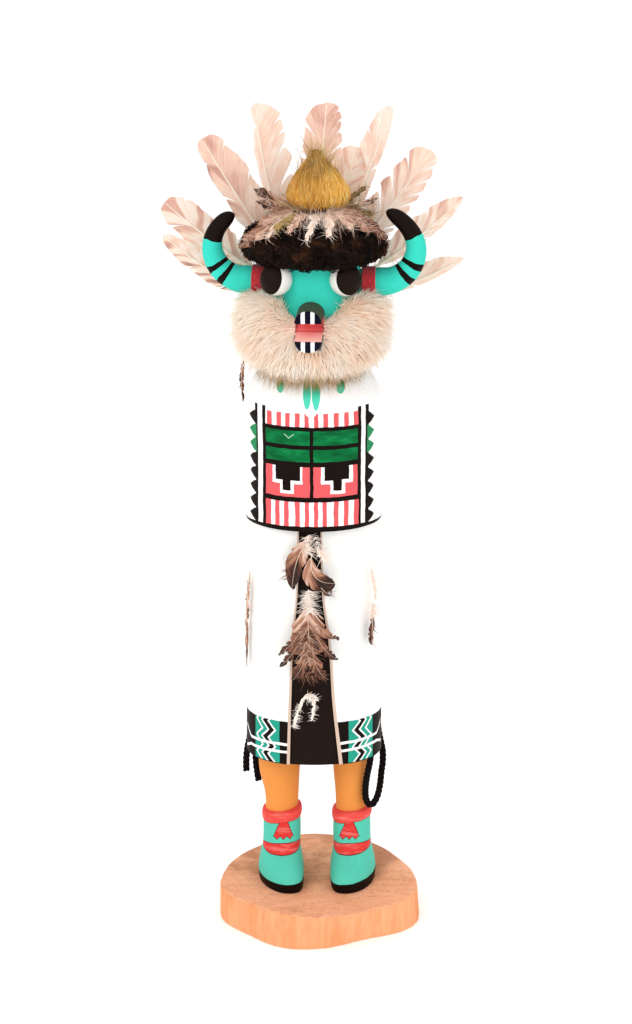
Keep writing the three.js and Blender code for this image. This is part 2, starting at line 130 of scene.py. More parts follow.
def piece(name, skins, materials, nodes=(), sharp=40):
    """One object made of closed skins, in metres, riding on the doll and standing for its solids."""
    starts = np.cumsum([0] + [len(one.points) for one in skins])
    points = np.concatenate([one.points for one in skins]) * MM
    faces = np.concatenate([one.faces + start for one, start in zip(skins, starts)]).astype(np.int32)
    mesh = bpy.data.meshes.new(name)
    mesh.vertices.add(len(points))
    mesh.vertices.foreach_set("co", points.ravel())
    mesh.loops.add(faces.size)
    mesh.loops.foreach_set("vertex_index", faces.ravel())
    mesh.polygons.add(len(faces))
    mesh.polygons.foreach_set("loop_start", np.arange(0, faces.size, 3, dtype=np.int32))
    paints = np.concatenate([np.broadcast_to(one.finish, len(one.faces)) for one in skins]).astype(np.int32)
    mesh.polygons.foreach_set("material_index", paints)
    places = np.concatenate([one.places for one in skins])
    mesh.uv_layers.new(name="UVMap").data.foreach_set("uv", places.ravel())
    tones = mesh.attributes.new("tone", "FLOAT", "POINT")
    tones.data.foreach_set("value", np.concatenate([one.tone for one in skins]))
    mesh.update(calc_edges=True)
    mesh.validate()
    mesh.shade_smooth()
    mesh.set_sharp_from_angle(angle=math.radians(sharp))
    for one in materials:
        mesh.materials.append(one)
    made = bpy.data.objects.new(name, mesh)
    bpy.context.collection.objects.link(made)
    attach(made, "root")
    if nodes:
        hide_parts(*nodes)
    return made


def unit(v):
    """Vectors of length one, in the same directions."""
    return v / np.maximum(np.linalg.norm(v, axis=-1, keepdims=True), 1e-9)


def circle(count):
    """That many angles, evenly spaced once round from zero."""
    return np.arange(count) * FULL / count


def tubes(paths, radii, face=(0, -1, 0.01), flat=1.0, sides=3, tone=None, finish=0, uv=None):
    """Closed tapering tubes along many paths at once.

    At each step the section is an ellipse of `sides` corners: the radius across, and flat times the radius towards
    face. UV holds the share along the tube and a number of its own for each tube.
    """
    paths = np.asarray(paths, float)
    if paths.ndim == 2:
        paths = paths[None]
    count, steps, _ = paths.shape
    radii = np.broadcast_to(radii, (count, steps))[:, :, None, None]
    along = unit(np.gradient(paths, axis=1))
    across = unit(np.cross(along, np.broadcast_to(face, paths.shape)))
    up = np.cross(along, across)
    angle = circle(sides)[:, None]
    points = paths[:, :, None] + radii * (np.cos(angle) * across[:, :, None] + flat * np.sin(angle) * up[:, :, None])
    if uv is None:
        own = rng.random((count, 1, 1))
        uv = np.stack(np.broadcast_arrays(np.linspace(0, 1, steps)[:, None], own), -1)
    if tone is not None:
        tone = np.broadcast_to(tone, (count, steps))[:, :, None]
    return skin(points, uv, tone, finish)


def strands(roots, ways, lengths, droop, steps=4, curl=0.0, seed=0):
    """Paths of single hairs: from each root along its way, bent towards droop by the square of the share along."""
    t = np.linspace(0, 1, steps)[None, :, None]
    length = np.asarray(lengths)[:, None, None]
    paths = roots[:, None] + length * (t * ways[:, None] + t * t * droop[:, None])
    if curl:
        paths = paths + curl * t * waves(paths, 6, seed)[..., None] * np.array([0.7, 0.2, 0.5])
    return paths


def waves(points, length, seed, count=7):
    """Smooth noise from about -1 to 1: seeded sine waves of about that length in mixed directions, averaged."""
    own = np.random.default_rng(seed)
    ways = unit(own.normal(size=(count, 3))) * FULL / (length * own.uniform(0.6, 1.7, (count, 1)))
    return np.sin(points @ ways.T + own.uniform(0, FULL, count)).mean(-1) * 1.8


def smooth(low, high, value):
    """Zero below low and one above high, with the cubic 3t^2 - 2t^3 between them."""
    t = np.clip((value - low) / (high - low), 0, 1)
    return t * t * (3 - 2 * t)


def bump(angle, middle, width):
    """A bell on the circle: e^-(away / width)^2, where away is the shorter way round to the middle."""
    away = np.arctan2(np.sin(angle - middle), np.cos(angle - middle))
    return np.exp(-(away / width) ** 2)


def flowing(at, rows):
    """Rows of numbers at rising places, joined by a curve that never overshoots them."""
    rows = np.array(rows, float)
    x, y = rows[:, 0], rows[:, 1:]
    slope = np.diff(y, axis=0) / np.diff(x)[:, None]
    same = slope[:-1] * slope[1:] > 0
    inner = np.where(same, 2 * slope[:-1] * slope[1:] / np.where(same, slope[:-1] + slope[1:], 1), 0)
    lean = np.concatenate([slope[:1], inner, slope[-1:]])
    k = np.clip(np.searchsorted(x, at, side="right") - 1, 0, len(x) - 2)
    gap = x[k + 1] - x[k]
    t = np.clip((at - x[k]) / gap, 0, 1)[..., None]
    gap = gap[..., None]
    return ((1 + 2 * t) * (1 - t) ** 2 * y[k] + t * (1 - t) ** 2 * gap * lean[k]
            + t * t * (3 - 2 * t) * y[k + 1] + t * t * (t - 1) * gap * lean[k + 1])


def pushed_out(c, s, power):
    """How far the circle's point (c, s) is pushed out until |x|^power + |y|^power is one."""
    return (np.abs(c) ** power + np.abs(s) ** power) ** (-1 / power)


def oval(angle, half_width, half_depth, power=2.0):
    """x and y of a rounded oblong, squarer as the power rises."""
    c, s = np.cos(angle), np.sin(angle)
    reach = pushed_out(c, s, power)
    return half_width * reach * c, half_depth * reach * s


def round_from_front(x, y):
    """Millimetres round each ring from its front, rising towards +X, for rings that start at the back.

    The last column closes them.
    """
    ring = np.stack([x, y], -1)
    ring = np.concatenate([ring, ring[:, :1]], 1)
    run = np.cumsum(np.linalg.norm(np.diff(ring, axis=1), axis=-1), 1)
    return np.concatenate([0 * run[:, :1], run], 1) - run[:, -1:] / 2


def column(rows, heights, columns, power=2.0, wobble=0.0, seed=1):
    """An oval column: half width and half depth flow from row to row; UV is millimetres round from the front and up."""
    half = flowing(heights, rows)
    angle = math.pi / 2 + circle(columns)
    x, y = oval(angle[None], half[:, :1], half[:, 1:2], power)
    points = np.stack([x, y, np.broadcast_to(heights[:, None], x.shape)], -1)
    points = points * (1 + wobble * waves(points, 18, seed)[..., None] * [1, 1, 0])
    return points, millimetres(round_from_front(x, y), heights)


def millimetres(round_, heights):
    """UV in millimetres: how far round, and how high."""
    return np.stack([round_, np.broadcast_to(heights[:, None], round_.shape)], -1)


def turned(points, degrees=-FACE_TURN):
    """Places told as if the mask faced straight forward, turned with it about the upright axis."""
    a = math.radians(degrees)
    x, y, z = np.moveaxis(np.asarray(points, float), -1, 0)
    return np.stack([x * math.cos(a) - y * math.sin(a), x * math.sin(a) + y * math.cos(a), z], -1)


# ---------------------------------------------------------------- materials

def colour(code):
    """An sRGB hex colour as the linear values that shaders take."""
    parts = np.array([int(code[i:i + 2], 16) for i in (1, 3, 5)]) / 255
    linear = np.where(parts <= 0.04045, parts / 12.92, ((parts + 0.055) / 1.055) ** 2.4)
    return (*map(float, linear), 1.0)


def add(tree, kind, inputs=(), stops=None, **settings):
    """Adds a node with its settings.

    Its inputs come in order or by name, as values, hex colours, nodes or sockets. A ramp's stops are a tuple where
    they flow into each other and a list where they step.
    """
    node = tree.nodes.new("ShaderNode" + kind)
    for key, value in settings.items():
        setattr(node, key, value)
    if stops:
        ramp = node.color_ramp
        ramp.interpolation = "LINEAR" if isinstance(stops, tuple) else "CONSTANT"
        while len(ramp.elements) < len(stops):
            ramp.elements.new(1.0)
        for element, (at, code) in zip(ramp.elements, stops):
            element.position, element.color = at, colour(code)
    for key, value in (inputs if isinstance(inputs, dict) else dict(enumerate(inputs))).items():
        if isinstance(value, bpy.types.Node):
            value = value.outputs[0]
        if isinstance(value, bpy.types.NodeSocket):
            tree.links.new(value, node.inputs[key])
        else:
            node.inputs[key].default_value = colour(value) if isinstance(value, str) else value
    return node


def material(name, build, **shader):
    """A material whose build(tree, coordinates) returns the shader's linked inputs; the rest are plain values."""
    made = bpy.data.materials.new(name)
    made.use_nodes = True
    tree = made.node_tree
    tree.nodes.clear()
    linked = build(tree, add(tree, "TexCoord"))
    named = {key.replace("_", " "): value for key, value in shader.items()}
    surface = add(tree, "BsdfPrincipled", {**named, **linked})
    add(tree, "OutputMaterial", {"Surface": surface})
    return made


def speckle(tree, where, size, detail=3.0, squeeze=(1, 1, 1), rough=0.6):
    """A noise value in object space, in patches of that many millimetres.

    Along each axis the patches are as long as the size over that axis's squeeze.
    """
    place = add(tree, "Mapping", {"Vector": where.outputs["Object"], "Scale": squeeze})
    return add(tree, "TexNoise", {"Vector": place, "Scale": 1 / (size * MM), "Detail": detail,
                                  "Roughness": rough}).outputs["Fac"]


def hand_drawn(tree, where, amount=0.45):
    """The surface's own millimetres, u round and v up, as a hand-held brush follows them.

    Noise in patches of 5.3 mm, about a brush stroke's width, moves each place by up to that amount.
    """
    shake = add(tree, "TexNoise", {"Vector": where.outputs["Object"], "Scale": 1 / (5.263 * MM), "Detail": 2.0})
    moved = add(tree, "VectorMath", {0: shake.outputs["Color"], 1: (0.5, 0.5, 0.5)}, operation="SUBTRACT")
    small = add(tree, "VectorMath", {0: moved, "Scale": 2 * amount}, operation="SCALE")
    return add(tree, "SeparateXYZ", {0: add(tree, "VectorMath", {0: where.outputs["UV"], 1: small})})


# ---------------------------------------------------------------- yarn cords

YARNS = {
    "yarn_loop_right": ("object", [
        (31.94, 12.37, 106), (32.9, 13.6, 105.7), (33.4, 14.8, 103.8), (33.4, 14.9, 100), (33.6, 13.6, 95.4),
        (34.7, 10.6, 90), (35.9, 7, 84.8), (35.9, 3.8, 79.8), (35.2, 1, 76), (34.4, -2.2, 69.6), (33, -5.2, 64.4),
        (30.8, -7.6, 61.2), (28.4, -9, 61.4), (26.9, -9.6, 64.8), (26.6, -9.8, 70), (27.3, -10, 77), (28.6, -10, 84),
        (29.4, -9.8, 89.6)]),
    "yarn_end_outer": ("bare", [
        (-31.94, 12.37, 106), (-32.9, 13.6, 105.6), (-33.3, 14.8, 103.6), (-33.2, 15, 100), (-33.2, 14.3, 95),
        (-33.9, 13, 89.6), (-35, 11.6, 84.4), (-35.6, 10, 79), (-35.6, 9, 72.8)]),
    "yarn_end_inner": ("bare", [
        (-27.6, 17.64, 106), (-28.7, 18.8, 105.7), (-29.8, 19.9, 104), (-30.4, 20, 100), (-30.6, 18.8, 92),
        (-30.9, 16.6, 84), (-30.6, 13.6, 76), (-29.8, 11.6, 70), (-29.2, 10.6, 66.6)]),
}
PLIES = dict(count=3, off=0.8, radius=1.05, twist=7.0)  # off: from the yarn's middle; twist: length of one turn

# Spun and plied black wool: soft and quite matt, the plies show as slanting ridges and a little fuzz stands off.
# Its fibres are 0.03 mm thick, too fine to show, so their shades are drawn in patches of 1.4 mm.
BLACK_YARN = material("Plied black wool yarn", lambda tree, where: {
    "Base Color": add(tree, "ValToRGB", {"Fac": speckle(tree, where, 1.429, 4.0)},
                      stops=((0.3, "#090607"), (0.7, "#1c1415")))}, Roughness=0.95, Specular_IOR_Level=0.1)


def through(points, count):
    """A smooth curve through points (Catmull-Rom on each span), spaced evenly along its length."""
    p = np.array(points, float)
    p = np.concatenate([[2 * p[0] - p[1]], p, [2 * p[-1] - p[-2]]])
    t = np.linspace(0, 1, 24, endpoint=False)[None, :, None]
    a, b, c, d = (p[k:len(p) - 3 + k][:, None] for k in range(4))
    line = 0.5 * (2 * b + (c - a) * t + (2 * a - 5 * b + 4 * c - d) * t ** 2 + (3 * b - a - 3 * c + d) * t ** 3)
    line = np.concatenate([line.reshape(-1, 3), p[-2:-1]])
    run = np.concatenate([[0], np.cumsum(np.linalg.norm(np.diff(line, axis=0), axis=1))])
    at = np.linspace(0, run[-1], count)
    return np.stack([np.interp(at, run, line[:, k]) for k in range(3)], 1), run[-1]


for name, (far_end, route) in YARNS.items():
    # Three plies twisted round the route, and short fuzz that stands off them.
    steps = 160
    line, length = through(route, steps)
    along = unit(np.gradient(line, axis=0))
    aside = unit(np.cross(along, [0.2, 1.0, 0.1]))
    other = np.cross(along, aside)
    turn = np.linspace(0, length / PLIES["twist"] * FULL, steps)
    plies = []
    for start in circle(PLIES["count"]):
        a = turn + start
        plies.append(line + PLIES["off"] * (np.cos(a)[:, None] * aside + np.sin(a)[:, None] * other))
    body = tubes(np.array(plies), PLIES["radius"] * np.ones(steps), face=(0.2, 1.0, 0.1), sides=7)
    count = int(length * 6)
    pick = rng.integers(1, steps - 1, count)
    a = rng.uniform(0, FULL, count)
    out = np.cos(a)[:, None] * aside[pick] + np.sin(a)[:, None] * other[pick]
    roots = line[pick] + 1.3 * out
    fuzz = strands(roots, unit(out * 0.6 + along[pick] * rng.normal(0, 0.8, (count, 1))), rng.uniform(0.4, 0.9, count),
                   np.zeros((count, 3)), steps=3)
    made = piece(name + "_spun", [body, tubes(fuzz, 0.09 * np.array([1, 0.8, 0.2]))], [BLACK_YARN],
                 [name])


# ---------------------------------------------------------------- paints

def brushed(tree, where, tint, strength=0.35, wear=0.06):
    """Water paint brushed on carved wood: a slightly uneven colour over fine tool and brush marks up and down.

    The colour varies over 11 mm. The marks of single bristles are 0.3 mm apart and too fine to show, so they are
    drawn 1.1 mm wide and 9 mm long.
    """
    uneven = speckle(tree, where, 11.11, 4.0)
    fine = speckle(tree, where, 1.111, 2.0, (1, 1, 0.12))
    cloud = add(tree, "ValToRGB", {"Fac": uneven}, stops=((0.3, "#e9e9e9"), (0.7, "#ffffff")))
    tint = add(tree, "MixRGB", (wear * 6, tint, add(tree, "MixRGB", (1.0, tint, cloud), blend_type="MULTIPLY")))
    relief = add(tree, "Bump", {"Height": add(tree, "Math", (fine, uneven)), "Strength": strength, "Distance": 0.00025})
    rough = add(tree, "Math", (uneven, 0.25, 0.42), operation="MULTIPLY_ADD")
    return {"Base Color": tint, "Normal": relief, "Roughness": rough}


def paint(name, coat, **shader):
    """Matt water paint over carved wood: no gloss to speak of, brush marks catch the light at a low angle."""
    return material(name, lambda tree, where: brushed(tree, where, coat(tree, where)), IOR=1.5,
                    Specular_IOR_Level=0.07, **shader)


def plain(code):
    """A coat of one colour."""
    return lambda tree, where: colour(code)


# Every colour of the doll, named for what wears it.
TURQUOISE, TURQUOISE_LOW = "#3cdcc8", "#5ad2bb"
BLACK, WHITE, GREEN, PINK = "#150b07", "#ffffff", "#047239", "#ea6267"
NAVY = "#0b0920"


def mantle_coat(tree, where):
    """The woven panel painted on the mantle, told in rows from its hem up, each a run of colours round the front."""
    drawn = hand_drawn(tree, where)
    u, v = drawn.outputs["X"], drawn.outputs["Y"]
    half, radius = 45.0, 34
    share = add(tree, "Math", (u, 1 / (2 * half), 0.5), operation="MULTIPLY_ADD")
    frame_left = [(-half, WHITE), (-33.4, BLACK), (-31.6, WHITE), (-28.0, BLACK)]
    frame_right = [(22.7, BLACK), (24.8, WHITE), (27.7, BLACK), (29.9, WHITE)]

    def shares(runs):
        """Where each run of colour starts, as a share of the way round from -half to half."""
        return [((x + half) / (2 * half), code) for x, code in runs]

    def round_(x):
        """The way round the mantle to what is seen x from its middle, head-on."""
        return radius * math.asin(max(-1, min(1, x / radius)))

    def row(*runs):
        """Colours between the two frames: (x where it starts, colour), with x as seen head-on."""
        return shares(frame_left + [(round_(x), code) for x, code in runs] + frame_right)

    def filled(code):
        """One colour on both sides of the black middle line."""
        return row((-23.5, code), (-2.45, BLACK), (-0.4, code))

    def striped(starts, wide):
        """Pink stripes that start there on white, with the black middle line between them."""
        runs = [(-23.5, WHITE)]
        for x in starts:
            if x > -0.5 and runs[-1][0] < -2.5:
                runs += [(-2.45, BLACK), (-0.4, WHITE)]
            runs += [(x, PINK), (x + wide, WHITE)] if x > -0.4 else [(x, PINK), (min(x + wide, -2.5), WHITE)]
        return row(*runs)

    block = [(-23.5, PINK), (-20.2, WHITE), (-18.8, BLACK), (-6.8, WHITE), (-5.6, PINK), (-2.45, BLACK), (-0.4, PINK),
             (3.4, WHITE), (5.1, BLACK), (17.1, WHITE), (18.7, PINK)]
    ledge = [(-23.5, PINK), (-20.2, WHITE), (-15.3, BLACK), (-11.4, WHITE), (-5.6, PINK), (-2.45, BLACK), (-0.4, PINK),
             (3.4, WHITE), (9.1, BLACK), (13.6, WHITE), (18.7, PINK)]
    stem = [(-23.5, PINK), (-16.7, WHITE), (-15.3, BLACK), (-11.4, WHITE), (-10, PINK), (-2.45, BLACK), (-0.4, PINK),
            (8, WHITE), (9.1, BLACK), (13.6, WHITE), (15, PINK)]
    foot = [(-23.5, PINK), (-16.7, WHITE), (-10, PINK), (-2.45, BLACK), (-0.4, PINK), (8, WHITE), (15, PINK)]
    rows = [
        (0.0, striped([-23.3, -19.1, -14.7, -9.4, -4.6, -0.3, 4, 9.6, 14.6, 19.4], 2.2)),
        (232, filled(BLACK)), (234.5, filled(PINK)), (236.1, row(*foot)), (237.8, row(*stem)), (241.2, row(*ledge)),
        (243, row(*block)), (250, filled(BLACK)), (252.5, filled(GREEN)), (258.9, filled(BLACK)),
        (261, filled(GREEN)), (268.3, filled(BLACK)),
        (270.3, striped([-22.7, -18.3, -14.2, -9.5, -4.7, -0.3, 4.5, 9.5, 14.4, 18.9], 2.3)),
    ]
    rows.append((277.2, shares(frame_left + [(-25.9, WHITE)] + frame_right)))
    rows.append((279.3, [(0.0, WHITE)]))
    tint = colour(BLACK)
    for start, stops in rows:
        ramp = add(tree, "ValToRGB", {"Fac": share}, stops=stops)
        tint = add(tree, "MixRGB", (add(tree, "Math", (v, start), operation="GREATER_THAN"), tint, ramp))
    # The green went on thinly, so lighter strokes show in it, some 12 mm long and 4 mm high, and a V-shaped scratch
    # near its upper left corner.
    hue = add(tree, "SeparateColor", {0: tint}, mode="HSV").outputs["Red"]
    green = add(tree, "Math", (hue, 0.41, 0.05), operation="COMPARE")
    lit = add(tree, "ValToRGB", {"Fac": speckle(tree, where, 5.882, 6.0, (0.5, 0.5, 1.6))},
              stops=((0.4, "#035c30"), (0.58, "#06783f"), (0.76, "#209659")))
    tint = add(tree, "MixRGB", (green, tint, lit))
    beside = add(tree, "Math", {0: add(tree, "Math", (u, 12.6))}, operation="ABSOLUTE")
    rise = add(tree, "Math", (beside, 0.8, 264.6), operation="MULTIPLY_ADD")
    vee = add(tree, "Math", {0: add(tree, "Math", (v, rise), operation="SUBTRACT")}, operation="ABSOLUTE")
    mark = add(tree, "Math", (add(tree, "Math", (vee, 0.28), operation="LESS_THAN"),
                              add(tree, "Math", (beside, 2.6), operation="LESS_THAN")), operation="MULTIPLY")
    tint = add(tree, "MixRGB", (add(tree, "Math", (mark, 0.75), operation="MULTIPLY"), tint, "#bfe6cb"))
    # Scallops outside both edges: eight a side, and two of them green.
    bottom, top, pitch = 217.6, 276.0, 7.2
    count = add(tree, "Math", (add(tree, "Math", (top, v), operation="SUBTRACT"), pitch), operation="DIVIDE")
    swing = add(tree, "Math", (add(tree, "Math", {0: count}, operation="FRACT"), 2.0, -1.0), operation="MULTIPLY_ADD")
    tooth = add(tree, "Math", (1.0, add(tree, "Math", {0: swing}, operation="ABSOLUTE")), operation="SUBTRACT")
    bulge = add(tree, "Math", (add(tree, "Math", (tooth, 0.0), operation="MAXIMUM"), 0.75), operation="POWER")
    codes = [BLACK, "#2f8f5c", "#2f8f5c", BLACK, BLACK, BLACK, BLACK, BLACK]
    leaf = add(tree, "ValToRGB", {"Fac": add(tree, "Math", (count, 0.125), operation="MULTIPLY")},
               stops=[(k / 8, code) for k, code in enumerate(codes)])
    in_height = add(tree, "Math", (add(tree, "Math", (v, bottom), operation="GREATER_THAN"),
                                   add(tree, "Math", (v, top), operation="LESS_THAN")), operation="MULTIPLY")
    for sign, edge, reach in ((-1, 33.0, 6.4), (1, 29.6, 5.4)):
        beyond = add(tree, "Math", (u, float(sign)), operation="MULTIPLY")
        out = add(tree, "Math", (beyond, edge - 0.5), operation="SUBTRACT")
        limit = add(tree, "Math", (bulge, reach + 0.5), operation="MULTIPLY")
        here = add(tree, "Math", (add(tree, "Math", (out, limit), operation="LESS_THAN"),
                                  add(tree, "Math", (out, 0.0), operation="GREATER_THAN")), operation="MULTIPLY")
        tint = add(tree, "MixRGB", (add(tree, "Math", (here, in_height), operation="MULTIPLY"), tint, leaf))
    # Hem band, which tapers to a point at each side.
    turn = add(tree, "Math", (u, 1 / 46), operation="MULTIPLY")
    taper = add(tree, "Math", (add(tree, "Math", {0: turn}, operation="COSINE"), 3.6, 216.0), operation="MULTIPLY_ADD")
    front = add(tree, "Math", (add(tree, "Math", {0: u}, operation="ABSOLUTE"), 52.0), operation="LESS_THAN")
    hem = add(tree, "Math", (add(tree, "Math", (v, taper), operation="LESS_THAN"), front), operation="MULTIPLY")
    tint = add(tree, "MixRGB", (hem, tint, BLACK))
    # A round of white paint cuts the panel's top, and a necklace hangs above it in long green drops.
    for x, z, wide, high, low_code, high_code in (
            (-1.4, 278.2, 2.9, 2.9, WHITE, WHITE), (-3.4, 287.0, 1.9, 7.8, "#54dcc0", "#2f9d63"),
            (0.9, 286.5, 2.0, 7.8, "#54dcc0", "#3aa873"), (-16.5, 289.5, 2.2, 3.2, "#5fc9a4", "#2f8f5c"),
            (13.0, 289.5, 2.2, 3.2, "#5fc9a4", "#2f8f5c")):
        dx = add(tree, "Math", (add(tree, "Math", (u, round_(x)), operation="SUBTRACT"), wide), operation="DIVIDE")
        dz = add(tree, "Math", (add(tree, "Math", (v, z), operation="SUBTRACT"), high), operation="DIVIDE")
        apart = add(tree, "Math", (add(tree, "Math", (dx, dx), operation="MULTIPLY"),
                                   add(tree, "Math", (dz, dz), operation="MULTIPLY")))
        drop = add(tree, "ValToRGB", {"Fac": add(tree, "Math", (dz, 0.5, 0.5), operation="MULTIPLY_ADD")},
                   stops=((0.35, low_code), (0.75, high_code)))
        tint = add(tree, "MixRGB", (add(tree, "Math", (apart, 1.0), operation="LESS_THAN"), tint, drop))
    return tint


def robe_coat(tree, where):
    """White robe with a black hem on each side of the opening, set with a turquoise block that white lines cross."""
    drawn = hand_drawn(tree, where, 0.35)
    u, v = drawn.outputs["X"], drawn.outputs["Y"]
    across = add(tree, "Math", {0: u}, operation="ABSOLUTE")
    band = add(tree, "Math", (v, 113.6), operation="LESS_THAN")
    tint = add(tree, "MixRGB", (band, "#fdfdfb", BLACK))
    block_start, block_end, block_bottom, zigzag, reach = 18.0, 33.5, 90.7, 9.0, 2.1
    inside = add(tree, "Math", (add(tree, "Math", (across, block_start), operation="GREATER_THAN"),
                                add(tree, "Math", (across, block_end), operation="LESS_THAN")), operation="MULTIPLY")
    above = add(tree, "Math", (add(tree, "Math", (v, block_bottom), operation="GREATER_THAN"), band),
                operation="MULTIPLY")
    block = add(tree, "Math", (inside, above), operation="MULTIPLY")
    tint = add(tree, "MixRGB", (block, tint, "#2aa48e"))
    # Zigzag lines: the height over their period, folded back at each half, moves them by that reach to each side.
    swing = add(tree, "Math", {0: add(tree, "Math", (v, zigzag), operation="DIVIDE"), 1: 0.5}, operation="PINGPONG")
    zig = add(tree, "Math", (swing, 4 * reach, -reach), operation="MULTIPLY_ADD")
    for middle, wide, code in ((24.4, 1.5, BLACK), (22.4, 0.6, WHITE), (26.4, 0.6, WHITE), (30.2, 0.6, WHITE)):
        straight = add(tree, "Math", (across, zig), operation="SUBTRACT")
        off = add(tree, "Math", {0: add(tree, "Math", (straight, middle), operation="SUBTRACT")}, operation="ABSOLUTE")
        line = add(tree, "Math", (add(tree, "Math", (off, wide), operation="LESS_THAN"), block), operation="MULTIPLY")
        tint = add(tree, "MixRGB", (line, tint, code))
    # Two white lines run round from the opening; past the block the upper one turns up and the lower one down.
    past = add(tree, "Math", (add(tree, "Math", (across, 37.5), operation="SUBTRACT"), 0.0), operation="MAXIMUM")
    for start, turn in ((101.5, 0.8), (97.3, -0.4)):
        level = add(tree, "Math", (u, 0.025, start), operation="MULTIPLY_ADD")
        path = add(tree, "Math", (past, turn, level), operation="MULTIPLY_ADD")
        off = add(tree, "Math", {0: add(tree, "Math", (v, path), operation="SUBTRACT")}, operation="ABSOLUTE")
        line = add(tree, "Math", (add(tree, "Math", (off, 0.72), operation="LESS_THAN"),
                                  add(tree, "Math", (across, 44.0), operation="LESS_THAN")), operation="MULTIPLY")
        tint = add(tree, "MixRGB", (add(tree, "Math", (line, band), operation="MULTIPLY"), tint, WHITE))
    return tint


def moccasin_coat(tree, where):
    """Turquoise moccasin: black sole, a red strap over the instep, a red rolled cuff and a bow below it."""
    drawn = hand_drawn(tree, where, 0.3)
    u, v = drawn.outputs["X"], drawn.outputs["Y"]
    low, high = 18.0, 59.0
    runs = [(low, BLACK), (23.4, TURQUOISE_LOW), (51.2, "#6a2f24"), (51.6, "#f4544d"), (57.8, "#a93a2c")]
    ramp = add(tree, "ValToRGB", {"Fac": add(tree, "Math", (v, 1 / (high - low), -low / (high - low)),
                                             operation="MULTIPLY_ADD")},
               stops=[((z - low) / (high - low), code) for z, code in runs])
    across = add(tree, "Math", {0: u}, operation="ABSOLUTE")
    ragged = add(tree, "Math", {0: add(tree, "Math", (across, 3.4), operation="DIVIDE"), 1: 0.5}, operation="PINGPONG")
    floor = add(tree, "Math", (ragged, 3.4, 42.4), operation="MULTIPLY_ADD")
    below = add(tree, "Math", (51.6, v), operation="SUBTRACT")
    tint = ramp.outputs["Color"]
    # The strap is a lens: full over the instep and narrow at the ankle's sides.
    bow_out = add(tree, "Math", (add(tree, "Math", (u, u), operation="MULTIPLY"), 0.006), operation="MULTIPLY")
    from_middle = add(tree, "Math", (add(tree, "Math", {0: add(tree, "Math", (v, 37.4), operation="SUBTRACT")},
                                         operation="ABSOLUTE"),
                                     add(tree, "Math", (bow_out, 1.6), operation="MINIMUM")))
    for reach, code in ((2.95, "#6a2f24"), (2.55, "#e8403c")):
        tint = add(tree, "MixRGB", (add(tree, "Math", (from_middle, reach), operation="LESS_THAN"), tint, code))
    for grow, code in ((0.45, "#6a2f24"), (0.0, "#e53a38")):
        wide = add(tree, "Math", (below, 0.4, 1.9 + grow), operation="MULTIPLY_ADD")
        inside = add(tree, "Math", (add(tree, "Math", (across, wide), operation="LESS_THAN"),
                                    add(tree, "Math", (v, add(tree, "Math", (floor, grow), operation="SUBTRACT")),
                                        operation="GREATER_THAN")), operation="MULTIPLY")
        inside = add(tree, "Math", (inside, add(tree, "Math", (v, 51.8), operation="LESS_THAN")), operation="MULTIPLY")
        tint = add(tree, "MixRGB", (inside, tint, code))
    # The reds were brushed on in streaks 12 mm long and 2 mm wide: a paler stroke runs along the cuff and the strap.
    streak = speckle(tree, where, 4.167, 3.0, (0.35, 0.35, 2.2))
    red = add(tree, "Math", (add(tree, "SeparateColor", {0: tint}, mode="HSV").outputs["Blue"], 0.7),
              operation="GREATER_THAN")
    warm = add(tree, "Math", (add(tree, "SeparateColor", {0: tint}).outputs["Green"], 0.2), operation="LESS_THAN")
    stroke = add(tree, "ValToRGB", {"Fac": streak}, stops=((0.5, "#000000"), (0.62, "#b0b0b0")))
    share = add(tree, "Math", (add(tree, "Math", (red, warm), operation="MULTIPLY"), stroke), operation="MULTIPLY")
    tint = add(tree, "MixRGB", (share, tint, "#fb9a92"))
    # Chips and open pores, the larger ones 1.6 mm wide.
    specks = add(tree, "ValToRGB", {"Fac": speckle(tree, where, 1.613, 3.0)},
                 stops=((0.27, "#5f9c8c"), (0.33, "#ffffff")))
    return add(tree, "MixRGB", (0.7, tint, specks), blend_type="MULTIPLY")


# Kaolin white and mineral colours in a thin binder, brushed on carved root: matt, nearly without gloss, with soft
# brush marks and hand-drawn edges.
ROBE_PAINT = paint("Brushed kaolin white with a painted hem", robe_coat)
MANTLE_PAINT = paint("Brushed kaolin white with a painted panel", mantle_coat)
DARK_PAINT = paint("Brushed brown-black earth paint", plain("#1d120d"))
LEG_PAINT = paint("Brushed orange earth paint", plain("#f09a4c"))
MASK_PAINT = paint("Brushed turquoise mineral paint", plain(TURQUOISE))
FOOT_PAINT = paint("Brushed turquoise, red and black paints", moccasin_coat)
# Where the paint ends, the sized wood shows as a thin pinkish line.
EDGE_PAINT = paint("Thinly sized root wood", plain("#dcc3b2"))


# ---------------------------------------------------------------- base

def base_outline(angle, share, inset):
    """Distance from the middle: a round with bulges, some of which fade from the underside to the top."""
    top = [(-28, 4.8, 22), (-160, 3.6, 18), (96, 2, 18), (-88, 1.6, 26), (28, -2.6, 20), (140, -1.6, 24)]
    low = [(-62, -3.8, 22), (-112, 3.2, 18), (-14, 1.4, 20)]
    reach = BASE["radius"] - inset
    for bulges, weight in ((top, 1), (low, 1 - share)):
        for at, high, wide in bulges:
            reach = reach + weight * high * bump(angle, math.radians(at), math.radians(wide))
    return reach


